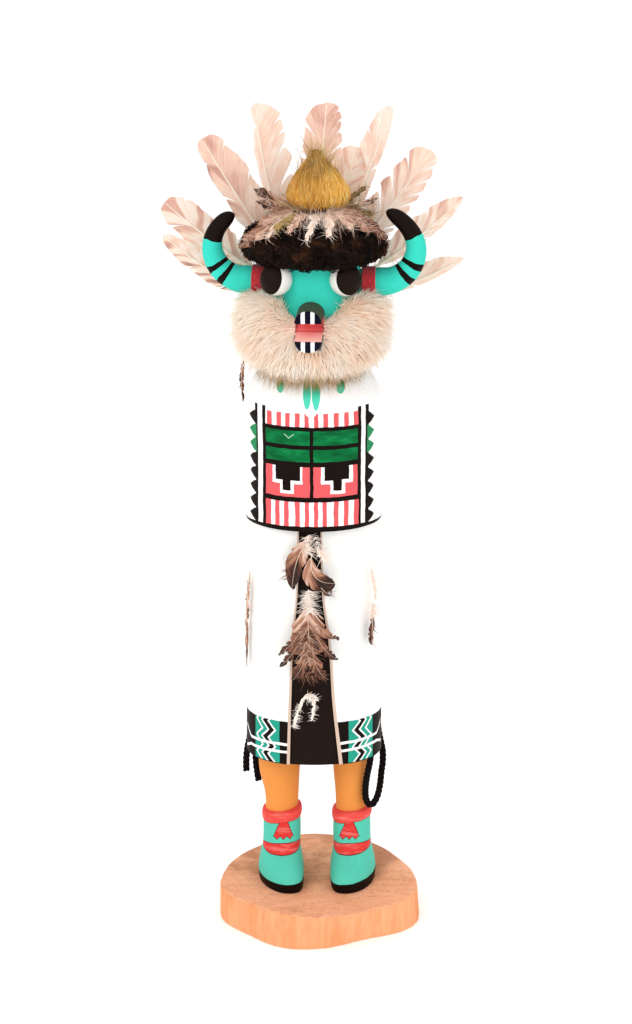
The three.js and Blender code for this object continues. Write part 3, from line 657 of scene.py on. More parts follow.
def base_skins():
    """The slice of root: its side rises straight with a worn round edge, and the sawn top dips a hair between marks."""
    angle = circle(180)[None]
    edge = BASE["edge"]
    turn = np.linspace(0, math.pi / 2, 5)
    z = np.concatenate([edge * (1 - np.cos(turn)), np.linspace(edge, BASE["thick"] - edge, 12)[1:-1],
                        BASE["thick"] - edge * (1 - np.sin(turn))])[:, None]
    inset = np.concatenate([edge * (1 - np.sin(turn)), np.zeros(10), edge * (1 - np.cos(turn))])[:, None]
    reach = base_outline(angle, z / BASE["thick"], inset)
    x, y = BASE["centre"][0] + reach * np.cos(angle), BASE["centre"][1] + reach * np.sin(angle)
    side = np.stack([x, y, np.broadcast_to(z, x.shape)], -1)
    side[..., :2] *= 1 - 0.003 * (1 + waves(side * [1, 1, 0.2], 9, 5)[..., None])
    rings = np.linspace(0.97, 0.03, 26)[:, None, None]
    middle = np.array([*BASE["centre"], BASE["thick"]])
    face = middle + (side[-1][None] - middle) * rings
    face[..., 2] = BASE["thick"] - 0.12 * (1 + waves(face * [1, 1, 0], 7, 9)) * smooth(1, 0.9, rings[..., 0])
    return [skin(np.concatenate([side, face]))]


def wood_coat(tree, where):
    """Sawn cottonwood root: peach end grain with scratches and dirt above, fine upright grain round the side.

    The top's shades lie in patches of 14 mm. The side's fibres are too fine to show, so their grain is drawn 2.4 mm
    wide and 40 mm long, within growth bands 17 mm wide. Dirt sits in pores of 2 mm.
    """
    mottle = speckle(tree, where, 14.29, 9.0, rough=0.72)
    top = add(tree, "ValToRGB", {"Fac": mottle},
              stops=((0.3, "#f3a97f"), (0.45, "#fbb48a"), (0.62, "#ffbc96"), (0.8, "#ffcaaa")))
    grain = speckle(tree, where, 2.381, 5.0, (1, 1, 0.06))
    broad = speckle(tree, where, 16.67, 3.0, (1, 1, 0.25))
    fibres = add(tree, "Math", (add(tree, "Math", (grain, broad)), 0.5), operation="MULTIPLY")
    side = add(tree, "ValToRGB", {"Fac": fibres}, stops=((0.36, "#e99662"), (0.48, "#f4a776"), (0.6, "#fab586")))
    up = add(tree, "SeparateXYZ", {0: add(tree, "NewGeometry").outputs["Normal"]}).outputs["Z"]
    facing = add(tree, "Math", (up, 0.6), operation="GREATER_THAN")
    tint = add(tree, "MixRGB", (facing, side, top))
    # Thin dark scratches and saw marks, in two directions: the rims of stretched noise patches 8 and 11 mm wide.
    for turn, size in ((0.4, 7.692), (-0.7, 11.11)):
        lined = add(tree, "Mapping", {"Vector": where.outputs["Object"], "Rotation": (0, 0, turn),
                                      "Scale": (0.35, 1.5, 0.5)})
        rim = add(tree, "TexNoise", {"Vector": lined, "Scale": 1 / (size * MM), "Detail": 5.0, "Roughness": 0.6})
        away = add(tree, "Math", {0: add(tree, "Math", (rim.outputs["Fac"], 0.5), operation="SUBTRACT")},
                   operation="ABSOLUTE")
        mark = add(tree, "ValToRGB", {"Fac": away}, stops=((0.0, "#a8643f"), (0.012, "#ffffff")))
        tint = add(tree, "MixRGB", (add(tree, "Math", (facing, 0.24, 0.1), operation="MULTIPLY_ADD"), tint,
                                    add(tree, "MixRGB", (1.0, tint, mark), blend_type="MULTIPLY")))
    dirt = add(tree, "ValToRGB", {"Fac": speckle(tree, where, 1.923, 6.0)},
               stops=((0.26, "#8a4f33"), (0.34, "#e8c8b4"), (0.42, "#ffffff")))
    tint = add(tree, "MixRGB", (add(tree, "Math", (facing, 0.34, 0.18), operation="MULTIPLY_ADD"), tint,
                                add(tree, "MixRGB", (1.0, tint, dirt), blend_type="MULTIPLY")))
    # The top is greyed in patches of 25 mm, more so towards the back.
    back = add(tree, "MapRange", {"Value": add(tree, "SeparateXYZ", {0: where.outputs["Object"]}).outputs["Y"],
                                  1: -0.03, 2: 0.03, 3: 0.12, 4: -0.1})
    top_greying = add(tree, "ValToRGB", {"Fac": add(tree, "Math", (speckle(tree, where, 25, 6.0), back))},
                stops=((0.38, "#7c5240"), (0.56, "#ffffff")))
    tint = add(tree, "MixRGB", (add(tree, "Math", (facing, 0.44), operation="MULTIPLY"), tint,
                                add(tree, "MixRGB", (1.0, tint, top_greying), blend_type="MULTIPLY")))
    height = add(tree, "Math", (speckle(tree, where, 2, 5.0), grain))
    relief = add(tree, "Bump", {"Height": height, "Strength": 0.5, "Distance": 0.0004})
    return {"Base Color": tint, "Normal": relief}


# Soft pale root, sawn and worn by hand: dull, with fine upright fibres round the side and dirt in the sawn pores.
ROOT_WOOD = material("Sawn cottonwood root", wood_coat, Roughness=0.85, Specular_IOR_Level=0.15)
piece("root_slice", base_skins(), [ROOT_WOOD], ["base"])


# ---------------------------------------------------------------- figure

LEGS = [
    dict(foot=-17.4, ankle=-16.8, thigh=-18.0, thin=8.3, thick=10.7, toe_in=4.8, bow=0.5),
    dict(foot=20.5, ankle=19.8, thigh=19.6, thin=8.2, thick=9.7, toe_in=-4.6, bow=-1.2),
]
MOCCASIN = [(18.5, 11.6, 26, 15), (22.9, 11.9, 26.4, 15.4), (27, 11.4, 23.5, 14.6), (32, 10.5, 17.4, 13),
            (37, 9.8, 12.4, 11.8), (45, 9.8, 10.8, 11), (51, 9.7, 10.4, 10.6), (52, 10.2, 11, 11),
            (54.2, 10.5, 11.3, 11.2), (56.4, 10.1, 10.9, 10.8), (57.2, 8.6, 9, 9)]
ROBE = [(90, 35, 26.5), (150, 34.4, 26.6), (220.8, 33.6, 27)]
MANTLE = [(216.8, 34.3, 31), (220.8, 34.2, 30.9), (250, 33.6, 30.4), (272, 34, 30.5), (281, 33.6, 30),
          (287, 31, 27.6), (292, 27, 24.4), (294.5, 22, 20)]
HEAD = [(285, 22, 20.5), (300, 23, 21.5), (350, 22.6, 21.1), (356, 20, 18.5), (359.5, 14, 13), (362, 7, 6.5)]
OPENING_LEFT = [(90, -12.4, 1.6), (126, -11.5, 1.3), (155, -10.6, 1.0), (185, -8.1, 0.8), (221, -7.4, 0.8)]
OPENING_RIGHT = [(90, 12.9, 1.9), (126, 9.2, 1.5), (155, 7.4, 1.2), (185, 3.9, 1.0), (221, 3.2, 0.8)]


def moccasin(leg, finish):
    """Rows of half width, toe and heel reach flow upwards; the toe swings inwards, the cuff and the paint slant."""
    z = np.unique(np.concatenate([np.linspace(18.5, 57.2, 46), [18.9, 22.9, 50.4]]))
    half, toe, heel = np.moveaxis(flowing(z, MOCCASIN), -1, 0)[..., None]
    angle = (math.pi / 2 + circle(64))[None]
    c, s = np.cos(angle), np.sin(angle)
    reach = pushed_out(c, s, 2.35)
    y = reach * s * np.where(s < 0, toe, heel)
    inward = leg["toe_in"] * np.maximum(0, -y / 26) ** 2
    across = half * reach * c
    high = z[:, None] + 0.12 * across * smooth(48, 51, z[:, None])
    x = leg["foot"] + (leg["ankle"] - leg["foot"]) * smooth(25, 45, z)[:, None] + across + inward
    uv = millimetres(round_from_front(x, y) - leg["bow"], z)
    uv[..., 1] -= 0.05 * np.concatenate([across, across[:, :1]], 1)
    return skin(np.stack([x, y, high], -1), uv, finish=finish)


def leg_skin(leg, finish):
    """A round leg from inside the cuff to inside the robe: its middle and its radius flow from ankle to thigh."""
    z = np.linspace(50, 96, 24)
    rows = [(50, leg["ankle"], leg["thin"]), (62, leg["ankle"], leg["thin"] + 0.3),
            (80, leg["thigh"], leg["thick"]), (96, leg["thigh"], leg["thick"] + 0.6)]
    middle, reach = np.moveaxis(flowing(z, rows), -1, 0)[..., None]
    angle = circle(48)[None]
    x, y = middle + reach * np.cos(angle), reach * np.sin(angle)
    return skin(np.stack([x, y, np.broadcast_to(z[:, None], x.shape)], -1), finish=finish)


def robe_skin():
    """The robe's oval column, whose mesh columns follow the two edges of the opening.

    So the dark under-robe lies 1.1 mm deep between clean steps, with a thin bare strip along each edge.
    """
    depth, power = 1.1, 2.15
    wall, bed_columns = 86, 14
    z = np.unique(np.concatenate([np.linspace(90.6, 216, 40), [90, 90.25, 218, 220.8]]))
    half = flowing(z, ROBE) - np.where(z < 90.4, 0.5, 0)[:, None]
    a, b = half[:, :1], half[:, 1:]
    left, left_wide = np.moveaxis(flowing(z, OPENING_LEFT), -1, 0)[..., None]
    right, right_wide = np.moveaxis(flowing(z, OPENING_RIGHT), -1, 0)[..., None]

    def angle_at(x):
        """Where the front of the oval has this x: y is the power's root of 1 - |x|^power."""
        share = x / a
        return np.arctan2(-(1 - np.abs(share) ** power) ** (1 / power), share)

    start, end = angle_at(left), angle_at(right)
    outer_left, outer_right = angle_at(left - left_wide), angle_at(right + right_wide)
    bed = start + (end - start) * np.linspace(0, 1, bed_columns)[None]
    back = math.pi / 2
    going = back - FULL + (outer_left - back + FULL) * np.linspace(0, 1, wall)[None]
    coming = outer_right + (back - outer_right) * np.linspace(0, 1, wall, endpoint=False)[None]
    angle = np.concatenate([going, start, bed, end, coming], 1)
    sink = np.zeros_like(angle)
    sink[:, wall + 1:wall + 1 + bed_columns] = depth
    x, y = oval(angle, a - sink, b - sink, power)
    points = np.stack([x, y, np.broadcast_to(z[:, None], x.shape)], -1)
    points[..., :2] *= 1 + 0.004 * waves(points, 26, 3)[..., None] * (sink[..., None] == 0)
    made = skin(points, millimetres(round_from_front(*oval(angle, a, b, power)), z))
    # One column of cells is the left bare strip, one the right, and all between them is the dark opening.
    left_strip, right_strip = wall - 1, wall + bed_columns + 1
    sides = points.shape[1]
    cell = np.concatenate([np.tile(np.arange(sides), len(z) - 1)] * 2 + [np.arange(sides)] * 2)
    strip = (cell == left_strip) | (cell == right_strip)
    return made._replace(finish=np.select([strip, (cell > left_strip) & (cell < right_strip)], [3, 2], 0))


def mantle_skin():
    """The mantle over the shoulders, its hem a clean step out from the robe; it rounds in under the fur."""
    z = np.unique(np.concatenate([np.linspace(217.4, 294.5, 52), [216.8, 217.0]]))
    points, uv = column(MANTLE, z, 128, 2.1, wobble=0.004, seed=8)
    points[0, :, :2] *= 0.985
    return skin(points, uv, finish=1)


def head_skin():
    """The case mask: an upright oval that closes over the crown, turned a little to the side."""
    points, uv = column(HEAD, np.linspace(285, 362, 44), 64, wobble=0.004, seed=12)
    return skin(turned(points), uv, finish=5)


figure = [robe_skin(), mantle_skin(), head_skin()]
for leg in LEGS:
    figure += [moccasin(leg, 6), leg_skin(leg, 4)]
piece("carved_figure", figure,
      [ROBE_PAINT, MANTLE_PAINT, DARK_PAINT, EDGE_PAINT, LEG_PAINT, MASK_PAINT, FOOT_PAINT], ["figure"])


# ---------------------------------------------------------------- eyes, snout, horns

def eye_coat(tree, where):
    """White ball with a black cap; V runs from the cap's middle to the back."""
    v = add(tree, "SeparateXYZ", {0: where.outputs["UV"]}).outputs["Y"]
    return add(tree, "ValToRGB", {"Fac": v}, stops=[(0.0, "#1d120d"), (0.394, "#fdfcf8")]).outputs["Color"]


# A turned ball, dipped white and capped with black by brush: matt, with a crisp round edge between the two.
EYE_PAINT = paint("Brushed white and black paint on a turned ball", eye_coat)
for side, at, look in (("left", (-16.8, -20.7, 341.6), -52), ("right", (16.7, -19.5, 341.6), 37)):
    # A ball whose rings run round the line of sight, with the black cap a hair proud of it.
    polar = np.linspace(0.02, math.pi - 0.02, 40)[:, None]
    around = -circle(56)[None]
    reach = EYE_RADIUS - 0.25 * smooth(1.215, 1.25, polar)
    sight, lift = math.radians(look), math.radians(12)
    ahead = np.array([math.sin(sight) * math.cos(lift), -math.cos(sight) * math.cos(lift), math.sin(lift)])
    aside = np.array([math.cos(sight), math.sin(sight), 0.0])
    ball = (reach * np.cos(polar))[..., None] * ahead + (reach * np.sin(polar))[..., None] * (
        np.cos(around)[..., None] * aside + np.sin(around)[..., None] * np.cross(aside, ahead))
    piece(f"eye_{side}_ball", [skin(turned(np.array(at)) + ball)], [EYE_PAINT], [f"eye_{side}"])


def striped_coat(dark):
    """Dark paint with two white teeth stripes, by the surface's own millimetres across."""
    def coat(tree, where):
        """White where the way out from the middle, to either side, is between the two edges of a tooth."""
        u = add(tree, "Math", {0: hand_drawn(tree, where, 0.2).outputs["X"]}, operation="ABSOLUTE")
        tooth = add(tree, "Math", (add(tree, "Math", (u, 1.35), operation="GREATER_THAN"),
                                   add(tree, "Math", (u, 3.3), operation="LESS_THAN")), operation="MULTIPLY")
        return add(tree, "MixRGB", (tooth, dark, WHITE))
    return coat


# The snout's paints are as matt as the mask's; the mouth is a clear red that pales towards the front of the jaw.
SNOUT_TOP = paint("Brushed olive earth paint", plain("#4a4a38"))
SNOUT_TEETH = paint("Brushed navy paint with white teeth", striped_coat(NAVY))
MOUTH_RED = paint("Brushed red mineral paint", plain("#ff8082"))


def mouth_coat(tree, where):
    """Red far back, a dark line of painted shade, then pink at the front, by the millimetres along the jaw."""
    v = hand_drawn(tree, where, 0.3).outputs["Y"]
    # The dark stop at 0.45 is painted shade: the crease at the back of the mouth, drawn as a dark red line.
    return add(tree, "ValToRGB", {"Fac": add(tree, "Math", (v, 30.0), operation="DIVIDE")}, stops=(
        (0.0, "#ff8486"), (0.42, "#ff9090"), (0.45, "#cc4a4c"), (0.48, "#f8b4ac"), (0.8, "#fdd0c6"))).outputs["Color"]


MOUTH_PINK = paint("Red and pink mineral paint with painted crease shade", mouth_coat)


def half_bar(upper, start, end, lean, offset):
    """Half of a round bar along -Y: an arc closed by a flat, rounded over at its front end.

    It runs from start to end, leans by that many degrees about X and is then moved by the offset.
    """
    blunt = 1.4
    arc = np.linspace(0, math.pi, 21)
    flat = np.linspace(1, -1, 11)[1:-1]
    shape = np.concatenate([np.stack([np.cos(arc), np.sin(arc)], 1), np.stack([-flat, 0 * flat], 1)])
    if not upper:
        shape = (shape * [1, -1])[::-1]
    round_over = np.linspace(0, math.pi / 2, 6)[1:]
    y = np.concatenate([np.linspace(start, end - blunt, 16), end - blunt + blunt * np.sin(round_over)])
    radius = np.concatenate([np.linspace(SNOUT["radius"] + 0.2, SNOUT["radius"], 16),
                             SNOUT["radius"] - blunt * (1 - np.cos(round_over))])
    face = SNOUT["radius"] - blunt
    y = np.concatenate([y, [end + 0.05, end + 0.1]])
    radius = np.concatenate([radius, [0.66 * face, 0.33 * face]])
    lift = np.where(np.arange(len(y)) >= len(y) - 2, 1 - radius / face, 0) * face * (0.42 if upper else -0.42)
    across, up = radius[:, None] * shape[:, 0], radius[:, None] * shape[:, 1] + lift[:, None]
    points = np.stack([across, np.broadcast_to(-y[:, None], across.shape), up * 0.9], -1)
    a = math.radians(lean)
    leaned = points.copy()
    leaned[..., 1] = points[..., 1] * math.cos(a) - points[..., 2] * math.sin(a)
    leaned[..., 2] = points[..., 1] * math.sin(a) + points[..., 2] * math.cos(a)
    across = np.concatenate([points[..., 0], points[:, :1, 0]], 1)
    uv = np.stack([across, np.broadcast_to(y[:, None], across.shape)], -1)
    made = skin(turned(leaned + offset), uv)
    sides, rows = points.shape[1], len(y)
    row = np.repeat(np.arange(rows - 1), sides)
    cell = np.tile(np.arange(sides), rows - 1)
    # The arc takes 20 cells of each ring and the flat the rest; the lower half's ring runs the other way.
    on_flat = (cell >= 20) if upper else (cell < 9) | (cell == sides - 1)
    front = row >= 15
    kind = np.where(front, 1, np.where(on_flat, 2 if upper else 3, 0 if upper else 1))
    kind = np.concatenate([kind, kind, np.full(sides, 0), np.full(sides, 1)])
    return made._replace(finish=kind)


def snout_skins():
    """Two jaws that gape, the upper one level and longer, and the round root that joins them inside the mask."""
    upper = half_bar(True, 10, SNOUT["front"], 0, np.array([0, 0, SNOUT["height"]]))
    lower = half_bar(False, 4, SNOUT["front"] - 17, SNOUT["gape"],
                     np.array([0, -17.4, SNOUT["height"] - 3.6]))
    angle = circle(40)[None]
    y = np.array([-8.0, -16.0, -23.9, -24.0])[:, None]
    radius = np.array([1, 1, 1, 0.97])[:, None] * SNOUT["radius"]
    x, z = radius * np.cos(angle), SNOUT["height"] - 1.6 + radius * np.sin(angle)
    root = skin(turned(np.stack([x, np.broadcast_to(y, x.shape), z], -1)), finish=2)
    return [upper, lower, root]


piece("snout_jaws", snout_skins(), [SNOUT_TOP, SNOUT_TEETH, MOUTH_RED, MOUTH_PINK], ["snout"])


def horn_coat(tree, where):
    """Turquoise horn with two black bands across its outer side and a black tip; V is the share along.

    Noise in patches of 4.5 mm moves the bands' edges, as a brush would.
    """
    along = add(tree, "SeparateXYZ", {0: where.outputs["UV"]}).outputs["Y"]
    shake = speckle(tree, where, 4.545, 2.0)
    v = add(tree, "Math", (shake, 0.02, add(tree, "Math", (along, 0.01), operation="SUBTRACT")),
            operation="MULTIPLY_ADD")
    runs = [(0.0, TURQUOISE), (0.362, BLACK), (0.407, TURQUOISE), (0.462, BLACK), (0.508, TURQUOISE), (0.7, "#180e0a")]
    return add(tree, "ValToRGB", {"Fac": v}, stops=runs).outputs["Color"]


HORN_PAINT = paint("Brushed turquoise and black paint on carved horns", horn_coat)
# Spun wool wound side by side: matt, each turn a soft ridge, its fibres of slightly different reds. They are too
# fine to show, so their shades are drawn 1.1 mm wide and their fuzz 0.4 mm.
RED_YARN = material("Wound red wool yarn", lambda tree, where: {
    "Base Color": add(tree, "ValToRGB", {"Fac": speckle(tree, where, 1.111, 3.0)},
                      stops=((0.3, "#b3182a"), (0.6, "#d9333d"), (0.8, "#f0605f"))),
    "Normal": add(tree, "Bump", {"Height": speckle(tree, where, 0.4, 2.0), "Strength": 0.6, "Distance": 0.0002}),
}, Roughness=0.9, Sheen_Weight=0.3)


def horn_path(side, count):
    """Stations of a horn: level out of the mask, then up and in round a circle."""
    sweep = math.radians(158 if side < 0 else 165)
    straight = np.stack([np.linspace(21.5, HORN["bend"] - 0.5, 8), np.full(8, HORN["height"])], 1)
    along = np.linspace(0, sweep, count)
    curl = np.stack([HORN["bend"] + HORN["loop"] * np.sin(along),
                     HORN["height"] + HORN["loop"] * (1 - np.cos(along))], 1)
    share = np.linspace(0, 1, count)
    blunt = np.sqrt(np.maximum(1 - np.maximum(0, (share - 0.86) / 0.14) ** 2, 0.02))
    radius = np.concatenate([np.linspace(WRAP["inner"] - GAP, HORN["root"], 8),
                             (HORN["root"] + (3.4 - HORN["root"]) * share) * blunt])
    flat = np.concatenate([straight, curl])
    return np.stack([side * flat[:, 0], 0 * flat[:, 0], flat[:, 1]], 1), radius


for side, word in ((-1, "left"), (1, "right")):
    path, radius = horn_path(side, 60)
    path += smooth(0.6, 1, np.linspace(0, 1, len(path)))[:, None] * ([-2.6, 0, 2.0] if side > 0 else [0.8, 0, 0.4])
    share = np.concatenate([[0], np.cumsum(np.linalg.norm(np.diff(path, axis=0), axis=1))])
    share /= share[-1]
    uv = np.stack(np.broadcast_arrays(0.0, share[:, None]), -1)[None]
    made = tubes(path, radius, face=(0, -1, 0), sides=40, uv=uv)
    made = made._replace(points=turned(made.points))
    piece(f"horn_{word}_carved", [made], [HORN_PAINT], [f"horn_{word}"])
    # Yarn wound side by side: a closed sleeve and one strand that goes round in a helix over it.
    start, turns = HORN["bend"] - 3.8 - WRAP["width"] + 0.5, 8
    t = np.linspace(0, 1, turns * 26)
    strand = np.stack([side * (start + (WRAP["width"] + 0.2) * t), (WRAP["inner"] + 0.6) * np.cos(t * turns * FULL),
                       HORN["height"] + (WRAP["inner"] + 0.6) * np.sin(t * turns * FULL)], 1)
    sleeve = np.stack([side * (start - 0.6 + (WRAP["width"] + 1.0) * np.array([0, 0.02, 0.5, 0.98, 1])), np.zeros(5),
                       np.full(5, HORN["height"])], 1)
    wrap = [tubes(strand, 0.52, face=(1, 0, 0), sides=8),
            tubes(sleeve, np.array([6.2, 6.6, 6.75, 6.6, 6.2]), face=(0, 1, 0), sides=40)]
    wrap = [one._replace(points=turned(one.points)) for one in wrap]
    piece(f"horn_{word}_yarn", wrap, [RED_YARN], [f"horn_wrap_{word}"])


# ---------------------------------------------------------------- hair and fur

def hair_surface(angle, z):
    """Points of the wool cap: an oval that swells and closes with height, lumpy all round."""
    rows = [(344.2, 0.66), (345.2, 0.77), (348, 0.88), (351, 0.96), (354, 0.99), (358, 0.965), (362, 0.87),
            (366, 0.69), (369.5, 0.42), (371.4, 0.14)]
    share = flowing(z, rows)[..., 0]
    x, y = HAIR["half_width"] * share * np.cos(angle), HAIR["half_depth"] * share * np.sin(angle)
    droop = 2.2 * (np.cos(angle) ** 2 + bump(angle, -math.pi / 2, 0.9)) * smooth(352, 346, z)
    points = np.stack([x, y, z + droop], -1)
    lump = 0.985 + 0.04 * waves(points, 10, 21) + 0.032 * waves(points, 5, 22)
    points[..., :2] *= lump[..., None]
    points[..., 1] = np.minimum(points[..., 1], HAIR["back"])
    return points


# Raw curly wool, nearly black, with painted highlights: brown patches some 8 mm wide, scattered at random.
# Its strands are drawn 0.6 mm wide, as single fibres wouldn't show.
WOOL = material("Raw curly black-brown wool", lambda tree, where: {
    "Base Color": add(tree, "ValToRGB", {"Fac": speckle(tree, where, 8.333, 5.0)},
                      stops=((0.35, "#0a0504"), (0.52, "#1e1008"), (0.62, "#382012"), (0.78, "#7a4226"))),
    "Normal": add(tree, "Bump", {"Height": speckle(tree, where, 0.5556, 3.0), "Strength": 0.8, "Distance": 0.0004}),
}, Roughness=0.7, Specular_IOR_Level=0.12)


def hair_skins():
    """The cap, and on it small curls of wool: each a helix that leans out from the cap."""
    z = np.concatenate([[344.2, 344.5], np.linspace(345, 371.2, 26)])[:, None]
    cap = hair_surface(*np.broadcast_arrays(circle(90)[None], z))
    count = 3100
    a = rng.uniform(0, FULL, count)
    up = 345 + 26 * rng.random(count) ** 0.9
    at = hair_surface(a, up)
    out = unit(np.stack([np.cos(a) * 0.9, np.sin(a) * 0.9, (up - 352) / 14], -1))
    flat_back = at[:, 1] > HAIR["back"] - 0.05
    out[flat_back] = [0, 1, 0]
    aside = unit(np.cross(out, rng.normal(size=(count, 3))))
    other = np.cross(out, aside)
    t = np.linspace(0, 1, 7)[None, :, None]
    phase = rng.uniform(0, FULL, (count, 1, 1))
    turn = t * FULL * 1.25 * rng.choice([-1, 1], (count, 1, 1)) + phase
    wide = rng.uniform(0.8, 1.7, (count, 1, 1))
    tall = rng.uniform(0.8, 2.6, (count, 1, 1))
    paths = (at[:, None] - 0.6 * out[:, None] + tall * t * out[:, None]
             + wide * (np.cos(turn) * aside[:, None] + np.sin(turn) * other[:, None]))
    paths[..., 1] = np.minimum(paths[..., 1], HAIR["back"] + 1.0)
    return [skin(cap), tubes(paths, 0.42 * np.linspace(1, 0.5, 7), face=(0.1, 0.2, 1))]


piece("wool_hair", hair_skins(), [WOOL], ["hair"])


def ruff_surface(angle, around, grow=0.0):
    """The fur collar's skin: a ring of rounded sections, full and high at the sides, lower in front, slim behind."""
    c, s = np.cos(angle), np.sin(angle)
    front, back = smooth(0.25, 1, -s), smooth(0.15, 0.75, s)
    outer = 37.6 + (31.5 - 37.6) * back + 0.8 * front
    low = 300.5 + (296.5 - 300.5) * front
    side_high = 333 + (324 - 333) * smooth(0.72, 1, -s)
    high = side_high + (316.5 - side_high) * back
    inner, power = 17.0, 2.5
    ca, sa = np.cos(around), np.sin(around)
    reach = pushed_out(ca, sa, power)
    radius = (inner + outer) / 2 + ((outer - inner) / 2 + grow) * reach * ca
    return np.stack([radius * c - 0.8, radius * s * 0.98, (low + high) / 2 + ((high - low) / 2 + grow) * reach * sa],
                    -1)


def fur_coat(tree, where):
    """Cream hairs, peach at their roots and palest at the tips, in soft patches of 17 mm."""
    patch = add(tree, "ValToRGB", {"Fac": speckle(tree, where, 16.67, 4.0)},
                stops=((0.3, "#ffdcbe"), (0.5, "#ffeedb"), (0.7, "#fffaf3")))
    along = add(tree, "ValToRGB", {"Fac": add(tree, "SeparateXYZ", {0: where.outputs["UV"]})},
                stops=((0.0, "#ffd2b0"), (0.5, "#fff0de"), (1.0, "#ffffff")))
    return {"Base Color": add(tree, "MixRGB", (0.5, patch, along))}


# Dressed rabbit skin: deep soft hair without shine, lit at its edge, that parts into tufts.
FUR = material("Tanned cream rabbit fur", fur_coat, Roughness=0.8, Sheen_Weight=0.8, Specular_IOR_Level=0.2)
# The longest hairs at the skin's lower edge end in gold-brown.
FUR_TIPS = material("Gold-brown guard hair", lambda tree, where: {
    "Base Color": add(tree, "ValToRGB", {"Fac": add(tree, "SeparateXYZ", {0: where.outputs["UV"]})},
                      stops=((0.2, "#f4dcbc"), (0.8, "#a98552")))}, Roughness=0.8, Specular_IOR_Level=0.2)


def clear_of_snout(paths):
    """Which hairs stay out of the room that the open jaws take in front of the mask."""
    x, y, z = np.moveaxis(turned(paths, FACE_TURN), -1, 0)
    in_way = (np.abs(x) < 6.4) & (y < -20) & (z > 310) & (z < 333)
    return ~in_way.any(1)


def fur_hairs(count, long, wide, steps, sink, seed):
    """Hairs that start under the ruff's skin and flow outwards, down and away from the snout."""
    angle = rng.uniform(0, FULL, count)
    angle = np.where(rng.random(count) < 0.4, -math.pi / 2 + rng.normal(0, 1.0, count), angle)
    around = rng.uniform(-1.9, 2.0, count)
    at = ruff_surface(angle, around, -sink)
    ahead = ruff_surface(angle + 0.01, around, -sink) - at
    above = ruff_surface(angle, around + 0.01, -sink) - at
    out = unit(np.cross(ahead, above))
    out[(out * (at - np.array([0, 0, 312.0]))).sum(-1) < 0] *= -1
    away = at - turned(np.array([0, -40.0, 320.0]))
    away[:, 1] *= 0.3
    near = np.exp(-(np.linalg.norm(away, axis=1) / 24) ** 2)[:, None]
    way = unit(0.4 * out + 0.55 * unit(away) * (0.5 + near) + np.array([0, 0, -0.3])
               + 0.15 * rng.normal(size=(count, 3)) + 0.3 * waves(at, 11, seed)[:, None] * np.array([1, 0, 0.5]))
    length = rng.uniform(*long, count) * (1 - 0.35 * near[:, 0]) * (1 - 0.3 * smooth(306, 298, at[:, 2]))
    droop = np.array([0, 0, -0.2]) + 0.1 * rng.normal(size=(count, 3))
    paths = strands(at, way, length, droop, steps=steps, curl=0.9, seed=seed + 1)
    paths = paths[clear_of_snout(paths)]
    return tubes(paths, wide * (np.array([1, 0.85, 0.6, 0.12]) if steps == 4 else np.array([1, 0.8, 0.12])),
                 face=(0.3, -1, 0.2))


def fur_skin():
    """The ruff's hide, sunk under its hairs, with a hollow that leaves room for the open jaws."""
    points = ruff_surface(circle(160)[:, None], circle(40)[None], -3.2)
    x = turned(points, FACE_TURN)[..., 0]
    floor = 326 - 16.5 * smooth(7.4, 6.2, np.abs(x)) * (points[..., 1] < -12)
    points[..., 2] = np.minimum(points[..., 2], floor)
    return skin(points[:, ::-1], ring=True)


piece("rabbit_fur", [fur_skin(), fur_hairs(7800, (4.2, 7.2), 0.27, 3, 2.4, 31)], [FUR], ["fur_ruff"])


def fringe():
    """A thin fringe along the ruff's lower front, through which the mantle shows."""
    count = 640
    angle = -math.pi / 2 + rng.normal(0, 0.6, count)
    at = ruff_surface(angle, rng.uniform(-1.9, -0.9, count), -1.0)
    way = unit(np.stack([0.35 * np.cos(angle), 0.25 * np.sin(angle), -np.ones(count)], -1)
               + 0.18 * rng.normal(size=(count, 3)))
    paths = strands(at, way, rng.uniform(6, 11, count), 0.15 * rng.normal(size=(count, 3)), curl=1.0, seed=39)
    return tubes(paths, 0.12 * np.array([1, 0.85, 0.6, 0.12]), face=(0.3, -1, 0.2), finish=1)


piece("rabbit_guard_hairs", [fur_hairs(5200, (5.8, 9.4), 0.15, 4, 1.8, 35), fringe()], [FUR, FUR_TIPS],
      ["fur_ruff"])


# ---------------------------------------------------------------- crest

def down_coat(tree, where):
    """Dyed down: orange-gold round the foot, olive above, brown at the top, each hair its own shade.

    The dye took unevenly, in patches of 13 mm, and less on the left.
    """
    place = add(tree, "SeparateXYZ", {0: where.outputs["UV"]})
    patch = add(tree, "ValToRGB", {"Fac": speckle(tree, where, 13.33, 4.0)},
                stops=((0.42, "#000000"), (0.6, "#ffffff")))
    right = add(tree, "SeparateXYZ", {0: where.outputs["Object"]}).outputs["X"]
    olive_side = add(tree, "MapRange", {"Value": right, 1: -0.012, 2: 0.014, 3: 0.85, 4: 0.15})
    low = add(tree, "ValToRGB", {"Fac": place.outputs["X"]},
              stops=((0.0, "#eca42c"), (0.5, "#ffcb58"), (1.0, "#ffe394")))
    high = add(tree, "ValToRGB", {"Fac": place.outputs["X"]},
               stops=((0.0, "#8c6828"), (0.5, "#dcaa48"), (0.85, "#f8cf6e"), (1.0, "#7c5428")))
    rise = add(tree, "ValToRGB", {"Fac": place.outputs["Y"]}, stops=((0.25, "#1a1a1a"), (0.75, "#e8e8e8")))
    blotches = add(tree, "MixRGB", (0.25, patch, olive_side))
    share = add(tree, "Math", (add(tree, "Math", (rise, blotches)), 0.5), operation="MULTIPLY")
    return {"Base Color": add(tree, "MixRGB", (share, low, high))}


